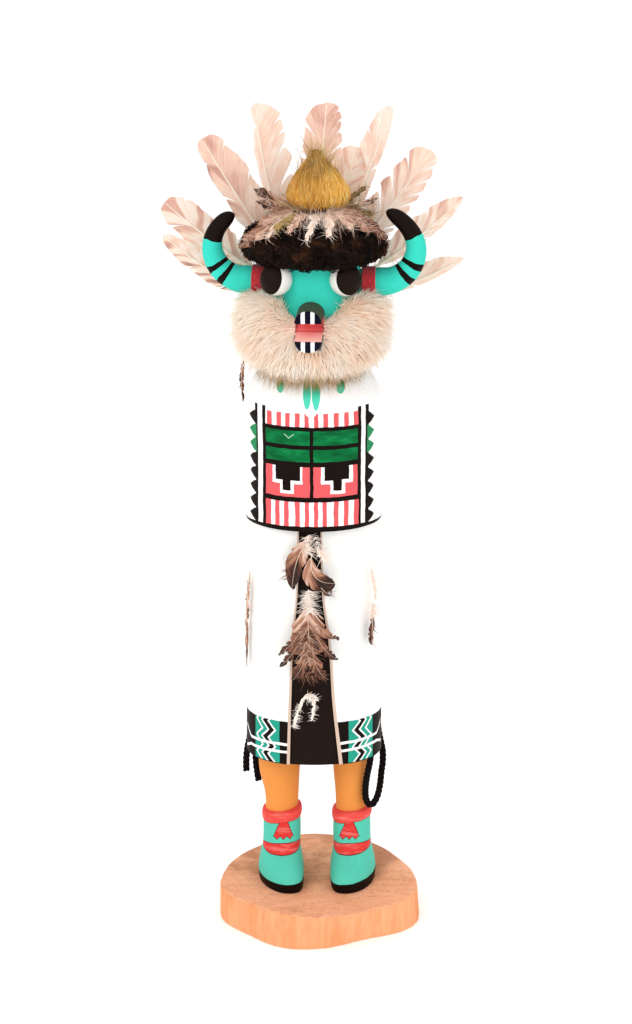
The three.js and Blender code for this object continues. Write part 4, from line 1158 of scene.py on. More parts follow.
# Fine down dyed yellow over brown feathers: soft, glowing at its edge, gold where it is thin and olive in its depth.
DOWN = material("Dyed yellow down", down_coat, Roughness=0.8, Sheen_Weight=0.25, Specular_IOR_Level=0.2)


def tuft_surface(angle, up, grow=0.0):
    """The tuft's outline: full from its foot, then a cone with a rounded side that leans left to a soft top."""
    share = flowing(up, [(0, 0.96), (0.16, 1), (0.4, 0.84), (0.62, 0.6), (0.82, 0.33), (0.95, 0.14),
                         (1.06, 0.02)])[..., 0]
    reach = TUFT["radius"] * share + grow
    x = TUFT["foot"][0] - 1.4 * up + reach * np.cos(angle)
    y = TUFT["foot"][1] + reach * 0.86 * np.sin(angle)
    return np.stack([x, y, TUFT["bottom"] + TUFT["height"] * up], -1)


def tuft_skins():
    """Down swept up round a core: each hair runs from the side towards the top, waving, and some stray beyond it."""
    depth = 1.9  # from the tuft's outline in to the core, where the hairs start
    rise = np.linspace(0, 0.93, 16)[:, None]
    core = tuft_surface(*np.broadcast_arrays(circle(60)[None], rise), -depth)
    made = [skin(core, np.stack(np.broadcast_arrays(0.35, rise), -1))]
    for count, long, stand, wide in ((3100, (0.3, 0.5), (-1.2, 0.9), 0.26), (2100, (0.4, 0.7), (-0.4, 1.8), 0.14)):
        a = rng.uniform(0, FULL, count)
        start = rng.random(count) ** 1.2 * 0.75 - 0.02
        stop = np.minimum(start + rng.uniform(*long, count), 1.06)
        t = np.linspace(0, 1, 4)[None]
        share = start[:, None] + (stop - start)[:, None] * t
        sway = a[:, None] + rng.normal(0, 0.3, (count, 1)) * t
        stand_off = -depth + (rng.uniform(*stand, (count, 1)) + depth) * np.sin(t * math.pi * 0.6)
        paths = tuft_surface(sway, np.maximum(share, 0), stand_off)
        paths = paths + 0.55 * waves(paths, 5, 41)[..., None] * t[..., None]
        height = np.broadcast_to(share[:, :, None, None], (count, 4, 4, 1))
        uv = np.concatenate([np.broadcast_to(rng.random((count, 1, 1, 1)), height.shape), height], -1)
        made.append(tubes(paths, wide * np.array([1, 1, 0.75, 0.12]), face=(0.2, -1, 0.1), uv=uv))
    # Wisps that stray out of the top.
    count = 230
    roots = tuft_surface(rng.uniform(0, FULL, count), rng.uniform(0.5, 0.98, count), -0.3)
    ways = unit(np.array([0.0, -0.1, 1.0]) + 0.45 * rng.normal(size=(count, 3)) * [1, 0.6, 0.3])
    wisps = strands(roots, ways, rng.uniform(4, 11, count), 0.3 * rng.normal(size=(count, 3)), steps=5, curl=1.2,
                    seed=47)
    made.append(tubes(wisps, 0.15 * np.array([1, 0.95, 0.8, 0.6, 0.2]), uv=np.array([1.0, 1.0])))
    return made


piece("down_tuft", tuft_skins(), [DOWN], ["crest_tuft"])


# ---------------------------------------------------------------- feathers

def bezier(path, t, way=False):
    """The curve from the first to the last of three points, pulled by the middle one; with way, its direction."""
    a, b, c = (np.array(point, float) for point in path)
    t = np.asarray(t)[..., None]
    if way:
        return unit(2 * (1 - t) * (b - a) + 2 * t * (c - b))
    return (1 - t) ** 2 * a + 2 * t * (1 - t) * b + t * t * c


def vane_width(vane, start, share, blunt):
    """Half width at a share of the length: it rises from the quill, holds, and closes in a blunt tip."""
    along = np.clip((share - start) / (1 - start), 0, 1)
    rise = np.minimum(1, along / 0.35) ** 0.8
    return 0.5 + (vane - 0.5) * rise * (1 - along ** (2 / blunt)) ** blunt


def vane(path, face, sign, width, begin, slits, tone, blunt=0.35, gape=0.1, camber=0.8, thick=0.36, ragged=0.03,
         lean=40, ripple=0.3, fine=(16, 8), seed=1):
    """One side of a feather as thin closed sheets, one for each clump of barbs between two slits.

    A ring of a sheet is one barb: out along its front from the shaft to the outline, and back along its back. Barbs
    leave the shaft lower down than they end, by their width over the lean's tangent. A clump draws in towards its
    own middle with the square of the way out, which opens the slits. tone(share, across) darkens it, 0 to 1.
    """
    steps, reaches = fine
    length = np.linalg.norm(np.diff(bezier(path, np.linspace(0, 1, 30)), axis=0), axis=1).sum()
    bounds = np.array([begin, *slits, 1.0])
    low, high = bounds[:-1, None, None], bounds[1:, None, None]
    t = np.linspace(0, 1, steps)[None, :, None]
    s = np.linspace(0, 1, reaches)[None, None]
    end = low + (high - low) * t
    middle = (low + high) / 2
    lap = middle + (end - middle) * (1 - gape * s ** 2)
    whole = vane_width(width, begin, end, blunt)
    rounded = 1 - 0.06 * np.abs(2 * t - 1) ** 5 * (np.where(t > 0.5, high < 1, low > begin))
    edge = np.stack(np.broadcast_arrays(end * length, 0, 7.0 * seed), -1)
    wide = whole * rounded * (1 + ragged * waves(edge, 2.2, 71) + 1.5 * ragged * waves(edge, 9, 72))
    drop = whole / math.tan(math.radians(lean)) / length
    share = np.clip(lap - drop * (1 - s) ** 1.25, begin * 0.9, 0.995)
    across = unit(np.cross(bezier(path, share, way=True), face))
    out = s * wide
    sheet = bezier(path, share) + sign * across * out[..., None]
    sheet = sheet + face * (ripple * s * waves(sheet, 8, 73 + seed) - camber * s ** 2 * wide / 10)[..., None]
    half = face * (thick / 2 * (1 - 0.7 * s))[..., None]
    ring = np.concatenate([sheet + half, (sheet - half)[:, :, ::-1]], 2)
    root = np.broadcast_to((end - drop) * length, sheet.shape[:3])
    reach = np.broadcast_to(sign * out, root.shape)
    uv = np.stack([root, reach], -1)
    uv = np.concatenate([uv, uv[:, :, ::-1]], 2)
    dark = np.clip(np.broadcast_to(tone(end, sign * s * wide / width), root.shape), 0, 1)
    dark = np.concatenate([dark, dark[:, :, ::-1]], 2)
    if sign > 0:
        ring, uv, dark = ring[:, :, ::-1], uv[:, :, ::-1], dark[:, :, ::-1]
    return skin(ring, np.concatenate([uv, uv[:, :, :1]], 2), dark)


def loose_barbs(path, face, shares, long, count, thin=0.13, stray=0.5, curl=0.8, dark=(0.0, 0.3), up=0.6, seed=1):
    """Soft barbs that stand off a shaft to both sides, each a hair that curls its own way."""
    share = rng.uniform(*shares, count)
    way = bezier(path, share, way=True)
    side = rng.choice([-1, 1], (count, 1)) * unit(np.cross(way, face))
    go = unit(side + up * way + stray * rng.normal(size=(count, 3)) * 0.6 + 0.1 * face)
    paths = strands(bezier(path, share), go, rng.uniform(*long, count), 0.3 * rng.normal(size=(count, 3)), steps=4,
                    curl=curl, seed=seed)
    return tubes(paths, thin * np.array([1, 0.9, 0.65, 0.15]), face=(0.1, -1, 0.2),
                 tone=rng.uniform(*dark, (count, 1)))


def feather(path, face, vanes, tone, slits=(3, 3), start=(0.34, 0.34), shaft=0.62, fluff=0, fluff_at=None, **shape):
    """A real feather: a tapering shaft with a vane on each side, and loose down round its quill."""
    face = unit(np.array(face, float))
    quill = np.linspace(0, 0.985, 12)
    made = [tubes(bezier(path, quill) + face * 0.25, shaft * (1 - 0.8 * quill), face=face, sides=6, finish=1)]
    for sign, width, begin, cuts in zip((-1, 1), vanes, start, slits):
        if isinstance(cuts, int):
            cuts = np.sort(rng.uniform(begin + 0.1, 0.96, cuts))
        made.append(vane(path, face, sign, width, begin, cuts, tone, seed=int(rng.integers(1, 99)), **shape))
    if fluff:
        made.append(loose_barbs(path, face, fluff_at or (0.2 * start[0], start[0] + 0.15),
                                (0.5 * max(vanes), 1.1 * max(vanes)), fluff))
    return made


def bars(pitch, strength, side=0, base=0.22, tip=0.0, edge=0.0, seed=0):
    """Marks on a vane: bars across it every pitch share, broken up by noise, stronger on one side.

    The tip and the outer edge may be darker or paler.
    """
    def tone(share, across):
        """Darkness at a share of the length and of the half width, minus to the left of the shaft."""
        place = np.stack(np.broadcast_arrays(share * 60, across * 7, 31.0 * seed), -1)
        broken = waves(place, 8, 61)
        wave = smooth(-0.2, 0.8, np.sin(share * FULL / pitch + across * 1.6 + broken * 1.6) + 0.4 * broken)
        weight = np.clip(0.5 + side * across, 0, 1) if side else 1.0
        return (base + strength * wave * weight + tip * smooth(0.5, 1.0, share) + edge * smooth(0.5, 1, np.abs(across))
                + 0.07 * waves(place, 3, 62))
    return tone


def feather_finish(name, stops, shaft):
    """Barred vane and shaft: fine lines run out from the shaft in relief and in shade, and clumps differ a little.

    Barbs lie 0.2 mm apart, too fine to show, so they are drawn 0.42 mm wide, in clumps of 1.7 mm. Their noise reads
    the vane's own millimetres, along the shaft and out from it.
    """
    def barbs(tree, where, apart, run, **noise):
        """Noise in lines that lie apart by one length and run out for the other."""
        place = add(tree, "Mapping", {"Vector": where.outputs["UV"], "Scale": (1 / apart, 1 / run, 1)})
        return add(tree, "TexNoise", {"Vector": place, "Scale": 1.0, **noise}).outputs["Fac"]

    def build(tree, where):
        """The marks' darkness, shifted by the barbs' shades, picks a colour from the ramp."""
        mark = add(tree, "Attribute", attribute_name="tone").outputs["Fac"]
        fine = barbs(tree, where, 0.4167, 8.333, Detail=3.0, Roughness=0.7)
        clump = barbs(tree, where, 1.667, 10, Detail=2.0)
        shift = add(tree, "Math", (add(tree, "Math", (fine, clump)), 1.0), operation="SUBTRACT")
        darkness = add(tree, "Math", (shift, 0.3, mark), operation="MULTIPLY_ADD")
        relief = add(tree, "Bump", {"Height": fine, "Strength": 0.35, "Distance": 0.0003})
        return {"Base Color": add(tree, "ValToRGB", {"Fac": darkness}, stops=stops), "Normal": relief}

    return [material(name, build, Roughness=0.6, Specular_IOR_Level=0.25),
            material(name + " shaft", lambda tree, where: {
                "Base Color": add(tree, "MixRGB", (speckle(tree, where, 3.333), shaft, "#f6dcc6"))}, Roughness=0.45)]


# Real feathers: a silky, slightly glossy sheet of barbs, paler along the shaft and darker where barbs overlap.
PALE = feather_finish("Natural pale wing feather", shaft="#fffaf0", stops=(
    (0.0, "#fff8f0"), (0.3, "#fad8c5"), (0.6, "#dcac9b"), (1.0, "#8a6052")))
BARRED = feather_finish("Natural barred brown feather", shaft="#d2b8a4", stops=(
    (0.0, "#fffaf4"), (0.3, "#f6d8c4"), (0.6, "#b07c62"), (0.85, "#5e3728"), (1.0, "#2a1812")))
OLIVE = feather_finish("Natural olive hackle", shaft="#d9c48c", stops=(
    (0.0, "#ecdfb4"), (0.3, "#bb9c58"), (0.6, "#7a6230"), (1.0, "#352715")))

FAN_FRONT = 22.9  # y of the foremost layer of wing feathers
FAN_LAYER = 2.1
# The wing feathers from the left round to the right: where the quill ends, the pull of its bend and the tip, across
# and up; half widths anticlockwise and clockwise of the shaft; how far back it stands; slits, marks and tip shape.
FAN = [
    dict(way=((-11, 321), (-40, 324), (-75.6, 355.2)), vanes=(6, 7), layer=0, slits=((0.55, 0.78), (0.8,)),
         tone=bars(0.085, 0.6, side=-0.9, base=0.2, edge=-0.1, seed=1), blunt=0.5),
    dict(way=((-10, 326), (-38, 339), (-74.6, 371.4)), vanes=(8.6, 10), layer=1,
         slits=((0.9,), (0.55, 0.72, 0.93)), tone=bars(0.12, 0.42, base=0.16, edge=0.05, seed=2)),
    dict(way=((-8, 331), (-25, 352), (-55.6, 403.6)), vanes=(6.5, 12), layer=0,
         slits=((0.72, 0.9), (0.58, 0.76, 0.93)), tone=bars(0.2, 0.42, side=-0.5, base=0.16, tip=0.25, seed=3)),
    dict(way=((-4, 336), (-26, 372), (-28.6, 421.2)), vanes=(3.4, 13.6), layer=1,
         slits=((0.9,), (0.62, 0.76, 0.84, 0.91)), tone=bars(0.22, 0.12, base=0.2, edge=-0.12, seed=4), gape=0.26),
    dict(way=((0, 338), (2, 375), (6.4, 421.4)), vanes=(10.4, 9.4), layer=0,
         slits=((0.72, 0.87), (0.6, 0.78, 0.85, 0.91, 0.96)), tone=bars(0.3, 0.15, base=0.2, tip=0.22, seed=5),
         gape=0.2),
    dict(way=((4, 337), (21, 368), (38.8, 419.2)), vanes=(8.4, 4), layer=1, start=(0.66, 0.3),
         slits=((0.86,), (0.7,)), tone=bars(0.25, 0.14, base=0.18, edge=0.08, seed=6), blunt=0.55),
    dict(way=((2, 334), (9, 370), (23.8, 398.6)), vanes=(10, 10), layer=2,
         slits=((0.6, 0.8), (0.5, 0.62, 0.72, 0.8, 0.88, 0.95)), tone=bars(0.1, 0.2, base=0.14, edge=0.12, seed=7),
         gape=0.22),
    dict(way=((8, 333), (27, 352), (58.2, 398)), vanes=(10.8, 8.6), layer=0,
         slits=((0.55, 0.7, 0.8, 0.92), (0.5, 0.58, 0.66, 0.73, 0.8, 0.87, 0.94)),
         tone=bars(0.1, 0.34, side=-0.5, base=0.12, edge=0.14, tip=0.15, seed=8), gape=0.3),
    dict(way=((10, 328), (42, 341), (74.4, 374)), vanes=(9.8, 4.6), layer=1, slits=((0.62, 0.8), (0.7,)),
         tone=bars(0.11, 0.5, side=-0.4, base=0.18, edge=-0.1, seed=9), blunt=0.62),
    dict(way=((11, 322), (45, 326), (75, 343.4)), vanes=(9.2, 3.2), layer=0, slits=((0.72,), (0.6,)),
         tone=bars(0.16, 0.26, side=-0.4, base=0.2, edge=-0.08, seed=10), blunt=0.72),
]
for index, one in enumerate(FAN, 1):
    y = FAN_FRONT + one["layer"] * FAN_LAYER
    path = [(x, y, z) for x, z in one["way"]]
    made = feather(path, (0, -1, 0), one["vanes"], one["tone"], one["slits"], one.get("start", (0.34, 0.34)),
                   fluff=70, fluff_at=(0.12, 0.5), camber=0.5, blunt=one.get("blunt", 0.35),
                   gape=one.get("gape", 0.08), fine=(18, 9), ragged=0.045, shaft=1.25)
    piece(f"wing_feather_{index}", made, PALE, [f"fan_feather_{index}"])


FRONT = -30.6  # y of the plane that the robe's tied feathers start from, just before its black opening
PLUME = dict(fine=(10, 6), camber=1.6, ragged=0.08, shaft=0.3, thick=0.3, ripple=0.5)
SPLAYED = dict(shaft=0.14, start=(0.1, 0.1), gape=0.4)

# Tied feathers: plumes as (path, half widths, slits, marks, shape), then puffs of down as (path, shortest and longest
# barb, count, darkness).
SPRAYS = {
    "robe_feather_upper": ([
        ([(-2, FRONT, 213), (-10, FRONT - 2.6, 206), (-11, FRONT - 1.4, 187)], (4.8, 5.2), (2, 3),
         bars(0.5, 0.2, base=0.42, tip=0.75, edge=0.1, seed=21), dict(start=(0.04, 0.04), blunt=0.62, lean=30)),
        ([(-1, FRONT - 0.6, 206), (-4, FRONT - 2.6, 190), (11, FRONT - 1.6, 190.6)], (4.2, 6.4), (3, 2),
         bars(0.4, 0.15, base=0.46, tip=0.6, seed=22), dict(start=(0.1, 0.1), blunt=0.5, lean=34)),
        ([(0, FRONT - 0.4, 196), (2, FRONT - 2.2, 188), (8.6, FRONT - 0.8, 183.4)], (1.8, 2.4), (2, 2),
         bars(0.3, 0.1, base=0.9, seed=23), dict(start=(0.1, 0.1), blunt=0.8, gape=0.4)),
        ([(1, FRONT - 0.4, 209), (4, FRONT - 2, 206.5), (7.6, FRONT - 0.8, 200)], (1.4, 2.0), (3, 3),
         bars(0.3, 0.1, base=0.08, seed=24), dict(start=(0.05, 0.05), blunt=0.7, gape=0.4)),
    ], [([(-3, FRONT - 0.4, 215.4), (-3, FRONT - 1.6, 211), (-3, FRONT - 1.4, 206)], (2, 5), 120, (0.0, 0.3)),
        ([(0, FRONT - 0.4, 214.4), (3, FRONT - 1.6, 210), (5, FRONT - 1.2, 204)], (2, 5), 60, (0.0, 0.25)),
        ([(-10, FRONT - 0.6, 204), (-13, FRONT - 1.6, 199), (-14, FRONT - 1.2, 192)], (2, 4.5), 40, (0.6, 1.0)),
        ([(0, FRONT - 0.4, 190), (5, FRONT - 1.2, 187), (9, FRONT - 1, 187)], (2, 5), 50, (0.7, 1.0)),
        ([(-5, FRONT - 0.4, 214), (-2, FRONT - 1.2, 211), (2, FRONT - 1, 210)], (0.8, 1.8), 22, (0.95, 1.0))]),
    "robe_feather_lower": ([
        ([(-2.6, FRONT, 184), (-3.6, FRONT - 2.4, 168), (-1.6, FRONT - 0.8, 151)], (9.4, 9.0), (4, 4),
         bars(0.17, 0.3, base=0.36, tip=0.35, edge=0.15, seed=25), dict(start=(0.2, 0.2), blunt=0.45, gape=0.25)),
        ([(-4, FRONT - 0.6, 170), (-10, FRONT - 2.2, 158), (-18.2, FRONT - 0.4, 152)], (2.2, 2.8), (3, 3),
         bars(0.3, 0.1, base=0.72, tip=0.25, seed=26), dict(SPLAYED, blunt=0.95)),
        ([(-4, FRONT - 0.7, 165), (-10, FRONT - 2.4, 153), (-17.4, FRONT - 0.4, 145.6)], (2.6, 3.0), (3, 3),
         bars(0.3, 0.1, base=0.76, tip=0.25, seed=27), dict(SPLAYED, blunt=0.95)),
        ([(1, FRONT - 0.6, 170), (6, FRONT - 2.2, 162), (13, FRONT - 0.4, 160.6)], (2.4, 3.0), (3, 3),
         bars(0.3, 0.1, base=0.6, tip=0.35, seed=28), dict(SPLAYED, blunt=0.95)),
        ([(1, FRONT - 0.7, 163), (5, FRONT - 2.2, 154), (12.2, FRONT - 0.4, 149.4)], (2.6, 3.0), (3, 3),
         bars(0.3, 0.1, base=0.7, tip=0.3, seed=29), dict(SPLAYED, blunt=0.95)),
        ([(-2, FRONT - 0.6, 158), (-6, FRONT - 2.6, 144), (-11, FRONT - 0.8, 138.6)], (3.0, 4.0), (3, 4),
         bars(0.3, 0.15, base=0.66, tip=0.3, seed=30), dict(SPLAYED, blunt=0.8)),
        ([(-1, FRONT - 0.7, 158), (0, FRONT - 2.8, 143), (7.6, FRONT - 0.8, 139)], (3.4, 3.8), (3, 4),
         bars(0.3, 0.15, base=0.62, tip=0.35, seed=31), dict(SPLAYED, blunt=0.8)),
    ], [([(-3, FRONT - 0.4, 187), (-3, FRONT - 1.8, 182), (-2, FRONT - 1.6, 175)], (3, 6.5), 150, (0.0, 0.18)),
        ([(-3, FRONT - 1, 170), (-4, FRONT - 2.2, 160), (-3, FRONT - 1.6, 148)], (4, 9), 120, (0.3, 0.9)),
        ([(-8, FRONT - 0.6, 144), (-2, FRONT - 2, 140), (5, FRONT - 1, 142)], (3, 6), 70, (0.6, 1.0))]),
    "robe_down": ([
        ([(-1, FRONT - 0.2, 132.4), (-7, FRONT - 1.8, 130), (-10.4, FRONT - 0.8, 112)], (0.8, 1.2), (3, 2),
         bars(0.3, 0.1, base=0.0, seed=32), dict(start=(0.12, 0.12), blunt=0.7, gape=0.65, shaft=0.14)),
        ([(-1, FRONT - 0.2, 130), (1, FRONT - 1.6, 124), (-1.4, FRONT - 0.8, 116.4)], (0.7, 1.2), (3, 3),
         bars(0.3, 0.1, base=0.0, seed=33), dict(start=(0.12, 0.12), blunt=0.7, gape=0.65, shaft=0.14)),
        ([(-5, FRONT - 0.2, 129.6), (-1, FRONT - 1.6, 133.4), (2.6, FRONT - 0.8, 127)], (0.6, 0.9), (2, 2),
         bars(0.3, 0.1, base=0.05, seed=34), dict(start=(0.05, 0.05), blunt=0.7, gape=0.45)),
    ], [([(-5, FRONT - 0.4, 130), (-2, FRONT - 1.4, 131), (1, FRONT - 0.8, 127)], (1.5, 3.6), 70, (0.0, 0.1)),
        ([(-7, FRONT - 0.4, 126), (-9, FRONT - 1.2, 120), (-9.6, FRONT - 0.8, 113)], (1.2, 3.2), 80, (0.0, 0.1)),
        ([(-1, FRONT - 0.4, 129), (1, FRONT - 1.2, 123), (-1, FRONT - 0.8, 117)], (1.0, 2.6), 50, (0.0, 0.1))]),
    "side_feather_right": ([
        ([(28.6, -20.4, 194), (30.4, -20, 186), (31, -19.6, 177)], (1.4, 1.2), (2, 2),
         bars(0.3, 0.1, base=0.16, seed=35), dict(start=(0.1, 0.1), blunt=0.8, gape=0.3)),
        ([(29.6, -20.2, 172), (29.4, -21.6, 162), (28.6, -20, 153.4)], (2.2, 2.4), (3, 3),
         bars(0.3, 0.1, base=0.85, seed=36), dict(start=(0.1, 0.1), blunt=0.8, gape=0.4)),
    ], [([(30, -20.4, 176), (30, -21.4, 173), (30, -20.4, 169)], (2, 4.6), 70, (0.1, 0.4)),
        ([(29.6, -20.4, 166), (29.4, -21.4, 160), (29, -20.4, 155)], (1.6, 4), 40, (0.6, 1.0))]),
    "side_feather_left": ([
        ([(-32, -14.4, 191), (-35, -11.6, 168), (-34.2, -11.6, 138)], (1.5, 1.9), (4, 4),
         bars(0.2, 0.3, base=0.42, tip=0.4, seed=37), dict(start=(0.05, 0.05), blunt=0.8, gape=0.3)),
    ], [([(-33.4, -13, 186), (-34.6, -12, 168), (-34.2, -11.8, 142)], (0.8, 2.4), 90, (0.3, 0.9))]),
    "shoulder_feather": ([
        ([(-34.6, 4, 298), (-37, 5, 288), (-35.6, 7, 273)], (1.6, 1.8), (3, 3),
         bars(0.2, 0.3, base=0.62, tip=0.3, seed=38), dict(start=(0.1, 0.1), blunt=0.8, gape=0.35)),
    ], [([(-35, 4, 294), (-36.6, 5, 286), (-35.6, 7, 276)], (1.5, 3.0), 50, (0.6, 1.0))]),
}


def spray(name, face):
    """The plumes and puffs of one tied spray, with their broad sides towards face."""
    made = []
    plumes, puffs = SPRAYS[name]
    for path, widths, slits, tone, shape in plumes:
        made += feather(path, face, widths, tone, slits, **{**PLUME, **shape})
    for number, (path, long, count, dark) in enumerate(puffs):
        made.append(loose_barbs(path, unit(np.array(face, float)), (0.0, 1.0), long, count, thin=0.14, dark=dark,
                                seed=80 + number))
    return made


for name, face in (("robe_feather_upper", (0, -1, 0)), ("robe_feather_lower", (0, -1, 0)), ("robe_down", (0, -1, 0)),
                   ("side_feather_right", (0.62, -0.78, 0)), ("side_feather_left", (-0.8, -0.6, 0)),
                   ("shoulder_feather", (-0.7, -0.7, 0))):
    piece(name + "_plumes", spray(name, face), BARRED, [name])


# The crest's larger plumes: path, half widths, darkness, its rise towards the tip, and 0 brown or 1 olive.
CREST = [
    ([(-6, 1, 373.4), (-19, 2, 373), (-30, 1, 383)], (2.2, 4.6), 0.3, 0.7, 0),
    ([(-6, -4, 373), (-17, -5, 371.6), (-28, -5, 377.6)], (2.2, 3.2), 0.45, 0.5, 0),
    ([(9, -1, 373), (20, -1, 373), (31.6, -1, 378)], (1.2, 1.6), 0.12, 0.85, 0),
    ([(8, 4, 373), (17, 5, 375), (26, 6, 383)], (1.8, 2.0), 0.4, 0.4, 1),
    ([(8, -6, 373), (18, -8, 373), (29, -9, 371)], (2.2, 2.4), 0.35, 0.4, 1),
    ([(-4, -8, 373.4), (-20, -12, 372), (-36.6, -14, 355)], (4.2, 6.4), 0.5, 0.25, 0),
    ([(-4, -9, 373.6), (-18, -12, 372), (-34, -17, 360)], (3.4, 4.4), 0.38, 0.3, 0),
    ([(-5, -9, 373.6), (-16, -16, 374), (-29, -20, 360)], (3.2, 4.4), 0.42, 0.1, 0),
    ([(-3, -11, 373.4), (-14, -19, 374.4), (-23, -25, 362.6)], (2.2, 3.2), 0.2, 0.1, 0),
    ([(-1, -12, 373.4), (-10, -21, 374), (-19, -26, 366.8)], (2.2, 2.6), 0.3, 0.1, 1),
    ([(0, -12, 373.4), (-6, -23, 374.6), (-13, -29.6, 366)], (2.2, 2.8), 0.34, 0.1, 0),
    ([(2, -12, 373.4), (2, -23, 375.4), (-4, -31, 362.6)], (2.4, 2.8), 0.06, 0.05, 0),
    ([(4, -12, 373.4), (9, -22, 375), (7, -31, 364.4)], (2.6, 2.8), 0.12, 0.05, 0),
    ([(5, -12, 373.4), (13, -19, 375), (19, -26, 367.4)], (2.4, 3.4), 0.26, 0.2, 0),
    ([(7, -10, 373.4), (18, -17, 375), (27, -22, 365)], (2.8, 3.4), 0.36, 0.3, 0),
    ([(8, -9, 373.4), (21, -14, 374), (33, -16, 362.6)], (3.4, 4.0), 0.5, 0.3, 0),
    ([(8, -8, 373.4), (24, -10, 372), (36.4, -9, 359)], (3.4, 4.4), 0.58, 0.25, 0),
    ([(0, 12, 373.4), (-3, 18, 374), (-6, 21, 366)], (3.2, 3.2), 0.4, 0.3, 0),
    ([(6, 12, 373.4), (10, 18, 374), (14, 21, 366)], (3.2, 3.2), 0.3, 0.3, 1),
]


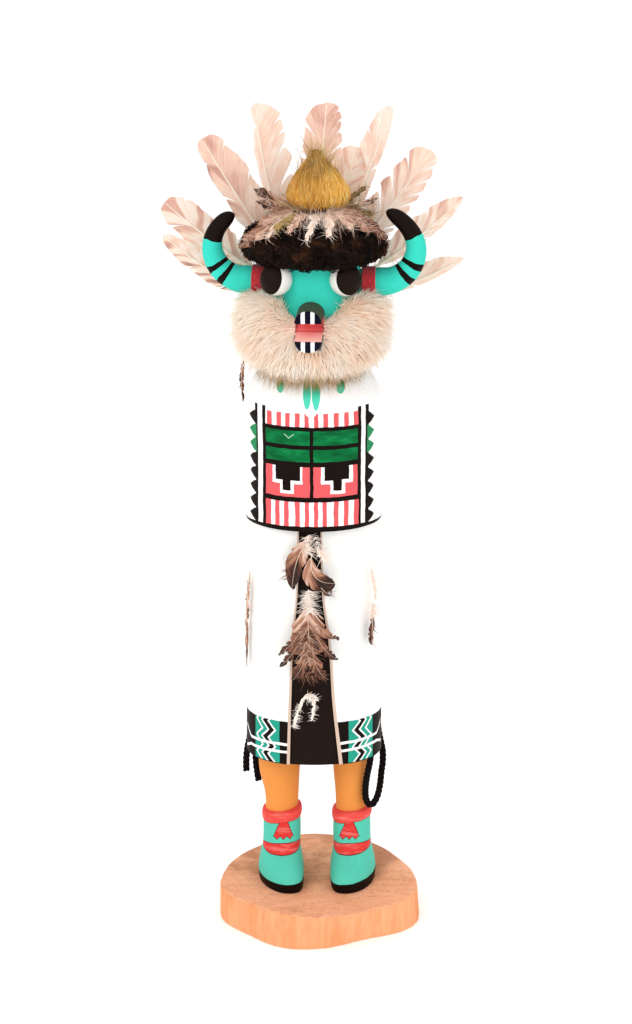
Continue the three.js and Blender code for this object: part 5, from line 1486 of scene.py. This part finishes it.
def collar_skins():
    """Small feathers laid round the tuft's foot, pointing out and down over the wool, under a haze of fine barbs."""
    made = []
    foot = np.array([TUFT["foot"][0], TUFT["foot"][1], 372.6])
    for k in range(26):
        a = FULL * (k + 0.9 * rng.random()) / 26
        way = np.array([math.cos(a), 0.9 * math.sin(a), 0.0])
        reach = (24 if way[1] < 0.2 else 17) * rng.uniform(0.72, 1.04)
        path = [foot + way * 6 + [0, 0, 0.5], foot + way * reach * 0.6 + [0, 0, 1.4 * rng.random()],
                foot + way * reach + [0, 0, -3.2 * rng.random() - 1.6]]
        kind = rng.choice([0.12, 0.35, 0.62])
        olive = rng.random() < 0.35
        plume = feather(path, (0.3 * way[0], 0.3 * way[1], 1), (1.9, 1.9), bars(0.4, 0.2, base=kind, tip=0.2, seed=k),
                        (4, 4), (0.1, 0.1), blunt=0.6, gape=0.6, shaft=0.2, fine=(6, 4), thick=0.24, camber=1.4,
                        lean=28)
        made += [one._replace(finish=one.finish + 2 * olive) for one in plume]
    for number, (path, widths, dark, tip, olive) in enumerate(CREST):
        out = np.array(path[2], float) - foot
        face = (0.25 * out[0] / 30, -0.75, 0.62) if out[1] < 10 else (0, 0.6, 0.8)
        plume = feather(path, face, widths, bars(0.25, 0.2, base=dark, tip=tip, seed=40 + number), (6, 6), (0.12, 0.12),
                        blunt=0.62, gape=0.62, shaft=0.2, fine=(8, 5), thick=0.24, camber=1.4, ragged=0.16, ripple=1.0,
                        lean=28)
        plume.append(loose_barbs(path, unit(np.array(face)), (0.1, 1.0), (1.8, 5.0), 110, thin=0.09, curl=1.2,
                                 dark=(max(0, dark - 0.2), dark + 0.25), seed=120 + number))
        made += [one._replace(finish=one.finish + 2 * olive) for one in plume]
    # A haze of fine hackle barbs, olive and brown, in all directions.
    count = 850
    a = rng.uniform(0, FULL, count)
    way = np.stack([np.cos(a), 0.9 * np.sin(a), rng.uniform(-0.1, 0.55, count)], -1)
    roots = foot + np.stack([np.cos(a), 0.9 * np.sin(a), 0 * a], -1) * rng.uniform(8, 14, (count, 1)) + [0, 0, 0.6]
    haze = strands(roots, unit(way), rng.uniform(4, 14, count), rng.normal(size=(count, 3)) * 0.25 - [0, 0, 0.15],
                   curl=1.6, seed=91)
    made.append(tubes(haze, 0.1 * np.array([1, 0.9, 0.65, 0.2]), face=(0.1, -1, 0.2),
                      tone=rng.choice([0.1, 0.35, 0.7, 0.95], (count, 1)), finish=2))
    # Long fine barbs that hang over the wool, pale at the front and brown to the sides.
    count = 950
    a = -math.pi / 2 + rng.normal(0, 0.85, count)
    way = np.stack([np.cos(a), 0.9 * np.sin(a), rng.uniform(0.0, 0.3, count)], -1)
    roots = foot + np.stack([np.cos(a), 0.9 * np.sin(a), 0 * a], -1) * rng.uniform(9, 17, (count, 1)) + [0, 0, 1.2]
    long = rng.uniform(5, 15, count)
    hang = strands(roots, unit(way), long, rng.normal(size=(count, 3)) * 0.2 - np.outer(long / 22, [0, 0, 1]), steps=4,
                   curl=1.8, seed=93)
    aside = np.abs(np.cos(a))
    made.append(tubes(hang, 0.11 * np.array([1, 0.9, 0.65, 0.2]), face=(0.1, -1, 0.2),
                      tone=np.clip(rng.uniform(0, 0.4, count) + 0.5 * aside, 0, 1)[:, None]))
    # A stripped quill lies across the front of the tuft's foot with a comb of dark stubs standing on it.
    lying = [(-12, -14.8, 372.4), (-3, -19.6, 373), (7, -17.4, 374.4)]
    quill = bezier(lying, np.linspace(0, 1, 12))
    made.append(tubes(quill, 0.42 * np.linspace(1, 0.5, 12), sides=6, finish=1))
    at = bezier(lying, np.linspace(0.12, 0.92, 13))
    stubs = strands(at, unit(np.array([0.15, -0.4, 1.0]) + 0.12 * rng.normal(size=(13, 3))), np.full(13, 3.0),
                    np.zeros((13, 3)))
    made.append(tubes(stubs, 0.5 * np.array([1, 1, 0.8, 0.3]), sides=5, tone=1.0))
    return made


piece("crest_feathers", collar_skins(), BARRED + OLIVE, ["crest_collar"])


# ---------------------------------------------------------------- floor, light

def make_stage():
    """A pale floor that runs far behind, a bright even sky, and three large soft lamps that look at the doll."""
    mesh = bpy.data.meshes.new("floor")
    mesh.from_pydata([(-8, -8, 0), (8, -8, 0), (8, 8, 0), (-8, 8, 0)], [], [(0, 1, 2, 3)])
    floor = bpy.data.objects.new("floor", mesh)
    bpy.context.collection.objects.link(floor)
    mesh.materials.append(material("White paper floor", lambda tree, where: {}, Base_Color=(1, 1, 1, 1), Roughness=0.9,
                                   Specular_IOR_Level=0.0, Emission_Color=(1, 1, 1, 1), Emission_Strength=0.22))
    world = bpy.data.worlds.new("World")
    bpy.context.scene.world = world
    world.use_nodes = True
    world.node_tree.nodes["Background"].inputs["Color"].default_value = (1, 1, 1, 1)
    world.node_tree.nodes["Background"].inputs["Strength"].default_value = 0.8
    for name, place, power, size, tint in (
            ("key", (-0.9, -1.3, 1.5), 11, 1.0, "#fff6ec"), ("fill", (1.3, -1.1, 0.9), 4, 1.4, "#fff2e6"),
            ("back", (0.2, 1.2, 1.6), 3, 1.2, "#ffffff")):
        lamp = bpy.data.lights.new(name, "AREA")
        lamp.energy, lamp.size, lamp.color = power, size, colour(tint)[:3]
        made = bpy.data.objects.new(name, lamp)
        made.location = place
        aim = np.array([0, 0, 0.22]) - np.array(place)
        made.rotation_euler = (math.atan2(math.hypot(aim[0], aim[1]), -aim[2]), 0,
                               math.atan2(aim[0], -aim[1]) + math.pi)
        bpy.context.collection.objects.link(made)
    view = bpy.context.scene.view_settings
    view.view_transform, view.look = "Standard", "None"


make_stage()
